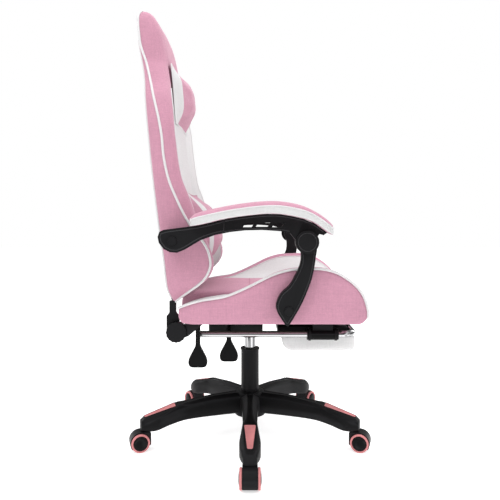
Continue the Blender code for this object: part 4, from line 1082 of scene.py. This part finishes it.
WHEEL_RADIUS, AXLE_PLACE = 0.026, 0.33
for number in range(1, 6):
    angle = math.radians(-90 + 72 * (number - 1))
    centre = Vector((AXLE_PLACE * math.cos(angle), AXLE_PLACE * math.sin(angle), WHEEL_RADIUS))
    for side in (NEAR, FAR):
        profile = [(0.0, 0.0285), (0.006, 0.0284), (0.012, 0.0279), (0.0165, 0.0268), (0.019, 0.0254),
                   (0.0199, 0.0244), (0.0203, 0.0238), (0.0205, 0.0244), (0.0212, 0.0255), (0.0225, 0.0262),
                   (0.0245, 0.026), (0.0256, 0.025), (0.026, 0.0235), (0.026, 0.0215), (0.0256, 0.02),
                   (0.0248, 0.0196), (0.0246, 0.019), (0.0246, 0.012), (0.0246, 0.005), (0.0238, 0.0045),
                   (0.014, 0.0045), (0.0045, 0.0045), (0.0045, 0.0215), (0.0, 0.0215)]
        paints = [0] * 7 + [1] * 8 + [2] * 8
        place = Matrix.Translation(centre) @ Matrix.Rotation(angle, 4, "Z") \
            @ Matrix.Rotation(math.radians(-90 * side), 4, "X")
        name = f"caster_wheel_{number}_{SIDE_WORD[side]}"
        wheel = lathe(f"{name}_rim", profile, paints, [NYLON_SMOOTH, SALMON, RUBBER], 40, place)
        settle(wheel, body_of(name), "wheel_plastic", name)


# ---- star base
LEG_REACH = 0.328


def leg_top(radial):
    flat_start, flat_top = 0.222, 0.1195
    if radial >= flat_start:
        return flat_top - (radial - flat_start) * 0.29
    return curve_through([(0.0, 0.138), (0.11, 0.134), (0.155, 0.129), (flat_start, flat_top)])(radial)


leg_half = curve_through([(0.02, 0.026), (0.11, 0.021), (0.2, 0.02), (0.235, 0.023), (0.28, 0.0275),
                          (0.305, 0.0245), (LEG_REACH, 0.017)])
leg_floor = curve_through([(0.02, 0.079), (0.11, 0.078), (0.2, 0.075), (0.25, 0.066), (0.287, 0.056),
                           (LEG_REACH, 0.056)])
ridge_half = curve_through([(0.02, 0.012), (0.07, 0.0085), (0.15, 0.009), (0.2, 0.0125), (0.225, 0.0175),
                            (0.26, 0.0165), (0.3, 0.0125), (LEG_REACH, 0.0095)])


def make_star():
    verts, faces = [], []
    stations = spread(0.02, 0.318, 40) + [0.3235, LEG_REACH]
    for leg in range(5):
        turn = Matrix.Rotation(math.radians(-90 + 72 * leg), 4, "Z")
        first = len(verts)
        for radial in stations:
            half, top, low, ridge = leg_half(radial), leg_top(radial), leg_floor(radial), ridge_half(radial)
            drop = 0.006 * smooth_step(0.316, LEG_REACH, radial)
            top -= drop
            bead = 0.0011 * (1 - smooth_step(0.222, 0.232, radial))
            section = [(0.0, top), (ridge - 0.0022, top), (ridge - 0.0004, top + bead),
                       (ridge + 0.0014, top - 0.0004),
                       (mix(ridge, half, 0.6), top - 0.0046), (half - 0.0008, top - 0.0078),
                       (half, top - 0.0102), (half, mix(top, low, 0.5)), (half, low + 0.006),
                       (half - 0.0018, low + 0.0022), (half - 0.006, low), (0.0, low)]
            row = section + [(-y, z) for y, z in reversed(section[1:-1])]
            verts.extend(turn @ Vector((radial, y, z)) for y, z in row)
            count = len(row)
        for i in range(len(stations) - 1):
            faces += band(first + i * count, first + (i + 1) * count, count)
        faces.append(tuple(first + j for j in range(count))[::-1])
        faces.append(tuple(first + (len(stations) - 1) * count + j for j in range(count)))
    star = face_outward(new_piece("star_base_legs", verts, faces, [NYLON]))
    star.data.set_sharp_from_angle(angle=math.radians(42))
    settle(star, "base", "black_nylon", "star_base")
    hub = lathe("star_base_hub", [
        (0.0242, 0.1425), (0.0285, 0.1435), (0.03, 0.143), (0.031, 0.1405), (0.036, 0.1395), (0.0415, 0.1375),
        (0.044, 0.1335), (0.0452, 0.125), (0.047, 0.078), (0.0465, 0.0715), (0.0445, 0.0692),
        (0.036, 0.0692), (0.034, 0.072), (0.0242, 0.072), (0.0242, 0.1425)], [0] * 14, [NYLON], 64,
        Matrix.Identity(4))
    settle(hub, "base", "black_nylon")


make_star()
for number in range(1, 6):
    node = f"leg_insert_{number}"
    insert = detailed(node, SALMON)
    bm = bmesh.new()
    bm.from_mesh(insert.data)
    bm.faces.ensure_lookup_table()
    top_face = max(bm.faces, key=lambda f: f.calc_area() * max(f.normal.z, 0.0))
    border = [v.co.copy() for v in top_face.verts]
    bmesh.ops.inset_individual(bm, faces=[top_face], thickness=0.0022, depth=0.0)
    bmesh.ops.inset_individual(bm, faces=[top_face], thickness=0.0005, depth=-0.0007)
    bm.to_mesh(insert.data)
    bm.free()
    insert.data.set_sharp_from_angle(angle=math.radians(30))
    middle = sum(border, Vector()) / len(border)
    rim = [p + (p - middle).normalized() * 0.0016 - Vector((0, 0, 0.0006)) for p in border]
    tube_piece(f"leg_insert_rim_{number}", rim, 0.0013, NYLON, "base", cyclic=True)


# ---- raised lines on the arms and links, in the lighter nylon as a painted highlight
def arc(centre, radius, start, end, steps):
    return [(centre[0] + radius * math.cos(math.radians(a)), centre[1] + radius * math.sin(math.radians(a)))
            for a in spread(start, end, steps + 1)]


def beside(side, y, points):
    """Points (x, z) set at a distance from the middle plane."""
    return [(x, side * y, z) for x, z in points]


ARM_OUTER = 0.2885 + 0.0235            # the bracket's inner face and its thickness
LINK_OUTER = 0.2862
arm_low = curve_through([
    (-0.1807, 0.5755), (-0.1609, 0.5837), (-0.1238, 0.6059), (-0.0866, 0.6195), (-0.0495, 0.6268),
    (-0.0124, 0.631), (0.0297, 0.632), (0.0817, 0.6285), (0.1, 0.625)])
for side, word in SIDES:
    upper = [(x, arm_top(x)) for x in spread(-0.205, -0.06, 14)]
    tail = [(-0.06, 0.6265)] + [(x, arm_low(x)) for x in spread(-0.07, -0.17, 10)] \
        + [(-0.1807, 0.5755), (-0.198, 0.577), (-0.214, 0.585), (-0.2255, 0.6), (-0.2285, 0.615),
           (-0.2245, 0.627)]
    loop = inset_loop(upper + tail, 0.0062)
    tube_piece(f"arm_rim_{word}", beside(side, ARM_OUTER, loop), 0.0013, NYLON_HIGHLIGHT, f"arm_{word}",
               cyclic=True)
    ridge = beside(side, ARM_OUTER, [(x, arm_top(x) - 0.005) for x in spread(-0.062, 0.182, 26)])
    tube_piece(f"arm_ridge_{word}", ridge, 0.0013, NYLON_HIGHLIGHT, f"arm_{word}")
    under = beside(side, ARM_OUTER, [(x, arm_low(x) + 0.0036) for x in spread(-0.064, 0.098, 18)])
    tube_piece(f"arm_under_ridge_{word}", under, 0.0011, NYLON_HIGHLIGHT, f"arm_{word}")
    outline = path_through([
        (0.168, 0.59), (0.166, 0.5626), (0.1559, 0.5082), (0.1312, 0.4463), (0.101, 0.3955),
        (0.093, 0.39), (0.0842, 0.3993), (0.0656, 0.4339), (0.0767, 0.4686), (0.1015, 0.4933),
        (0.1265, 0.5428), (0.1275, 0.5775)], 46)
    loop = inset_loop([tuple(point) for point in outline], 0.0055)
    tube_piece(f"link_border_{word}", beside(side, LINK_OUTER, loop), 0.0012, NYLON_HIGHLIGHT, f"link_{word}",
               cyclic=True)
    knuckle = beside(side, ARM_OUTER + 0.0042, arc((0.142, 0.602), 0.0225, 0, 351, 39))
    tube_piece(f"knuckle_ring_{word}", knuckle, 0.001, NYLON_HIGHLIGHT, f"arm_{word}", cyclic=True)


# ---- camera, floor and light
def area_light(name, place, target, size, power, size_y=None):
    light = bpy.data.lights.new(name, "AREA")
    light.energy = power
    light.size = size
    if size_y:
        light.shape = "RECTANGLE"
        light.size_y = size_y
    obj = add_object(name, light)
    obj.location = place
    obj.rotation_euler = (Vector(target) - Vector(place)).to_track_quat("-Z", "Y").to_euler()


camera_data = bpy.data.cameras.new("camera")
camera_data.lens = 40.18
camera_data.sensor_width = 36.0
camera_data.shift_y = -0.074
camera = add_object("camera", camera_data)
camera.location = (0.0, -1.691, 0.674)
camera.rotation_euler = (math.radians(90), 0.0, 0.0)
bpy.context.scene.camera = camera

floor_mesh = bpy.data.meshes.new("floor")
floor_mesh.from_pydata([(-9, -9, 0), (9, -9, 0), (9, 9, 0), (-9, 9, 0)], [], [(0, 1, 2, 3)])
floor = add_object("floor", floor_mesh)
floor.location = (0.0, 0.0, min(0.0, CAD_BOX[0][2]) - 0.0002)
floor_material, _, floor_shader = nodes_of("pale_floor", (0.8, 0.8, 0.8), 0.9)
floor_shader.inputs["Emission Color"].default_value = (1.0, 1.0, 1.0, 1.0)
floor_shader.inputs["Emission Strength"].default_value = 0.62
floor_mesh.materials.append(floor_material)

world = bpy.data.worlds.new("studio")
world.use_nodes = True
tree = world.node_tree
background = tree.nodes["Background"]
background.inputs["Color"].default_value = (1.0, 1.0, 1.0, 1.0)
place = tree.nodes.new("ShaderNodeTexCoord")
split = tree.nodes.new("ShaderNodeSeparateXYZ")
tree.links.new(place.outputs["Generated"], split.inputs["Vector"])
studio = ramp(tree, calculate(tree, "MULTIPLY_ADD", split.outputs["Z"], 0.5, 0.5),
              [(0.44, (0.62, 0.62, 0.62)), (0.5, (0.13, 0.13, 0.13)), (0.6, (0.16, 0.16, 0.16)),
               (0.78, (0.75, 0.75, 0.75)), (1.0, (1.0, 1.0, 1.0))])
path = tree.nodes.new("ShaderNodeLightPath")
seen = tree.nodes.new("ShaderNodeMix")
seen.data_type = "RGBA"
tree.links.new(path.outputs["Is Camera Ray"], seen.inputs["Factor"])
tree.links.new(studio, seen.inputs["A"])
seen.inputs["B"].default_value = (1.0, 1.0, 1.0, 1.0)
tree.links.new(seen.outputs["Result"], background.inputs["Color"])
background.inputs["Strength"].default_value = 1.0
bpy.context.scene.world = world
area_light("key", (-1.4, -1.9, 2.7), (0, 0, 0.7), 1.4, 27)
area_light("fill", (1.9, -1.8, 2.4), (0, 0, 0.6), 1.5, 17)
area_light("front", (0.0, -3.2, 1.2), (0, 0, 0.6), 1.2, 2)
area_light("top", (0.0, 0.2, 3.0), (0, 0, 0.5), 2.2, 38)
area_light("back_left", (-2.1, 1.4, 1.2), (0, 0, 0.6), 0.6, 14, 1.8)
area_light("back_right", (2.1, 1.4, 1.2), (0, 0, 0.6), 0.6, 14, 1.8)
bpy.context.scene.view_settings.view_transform = "Standard"
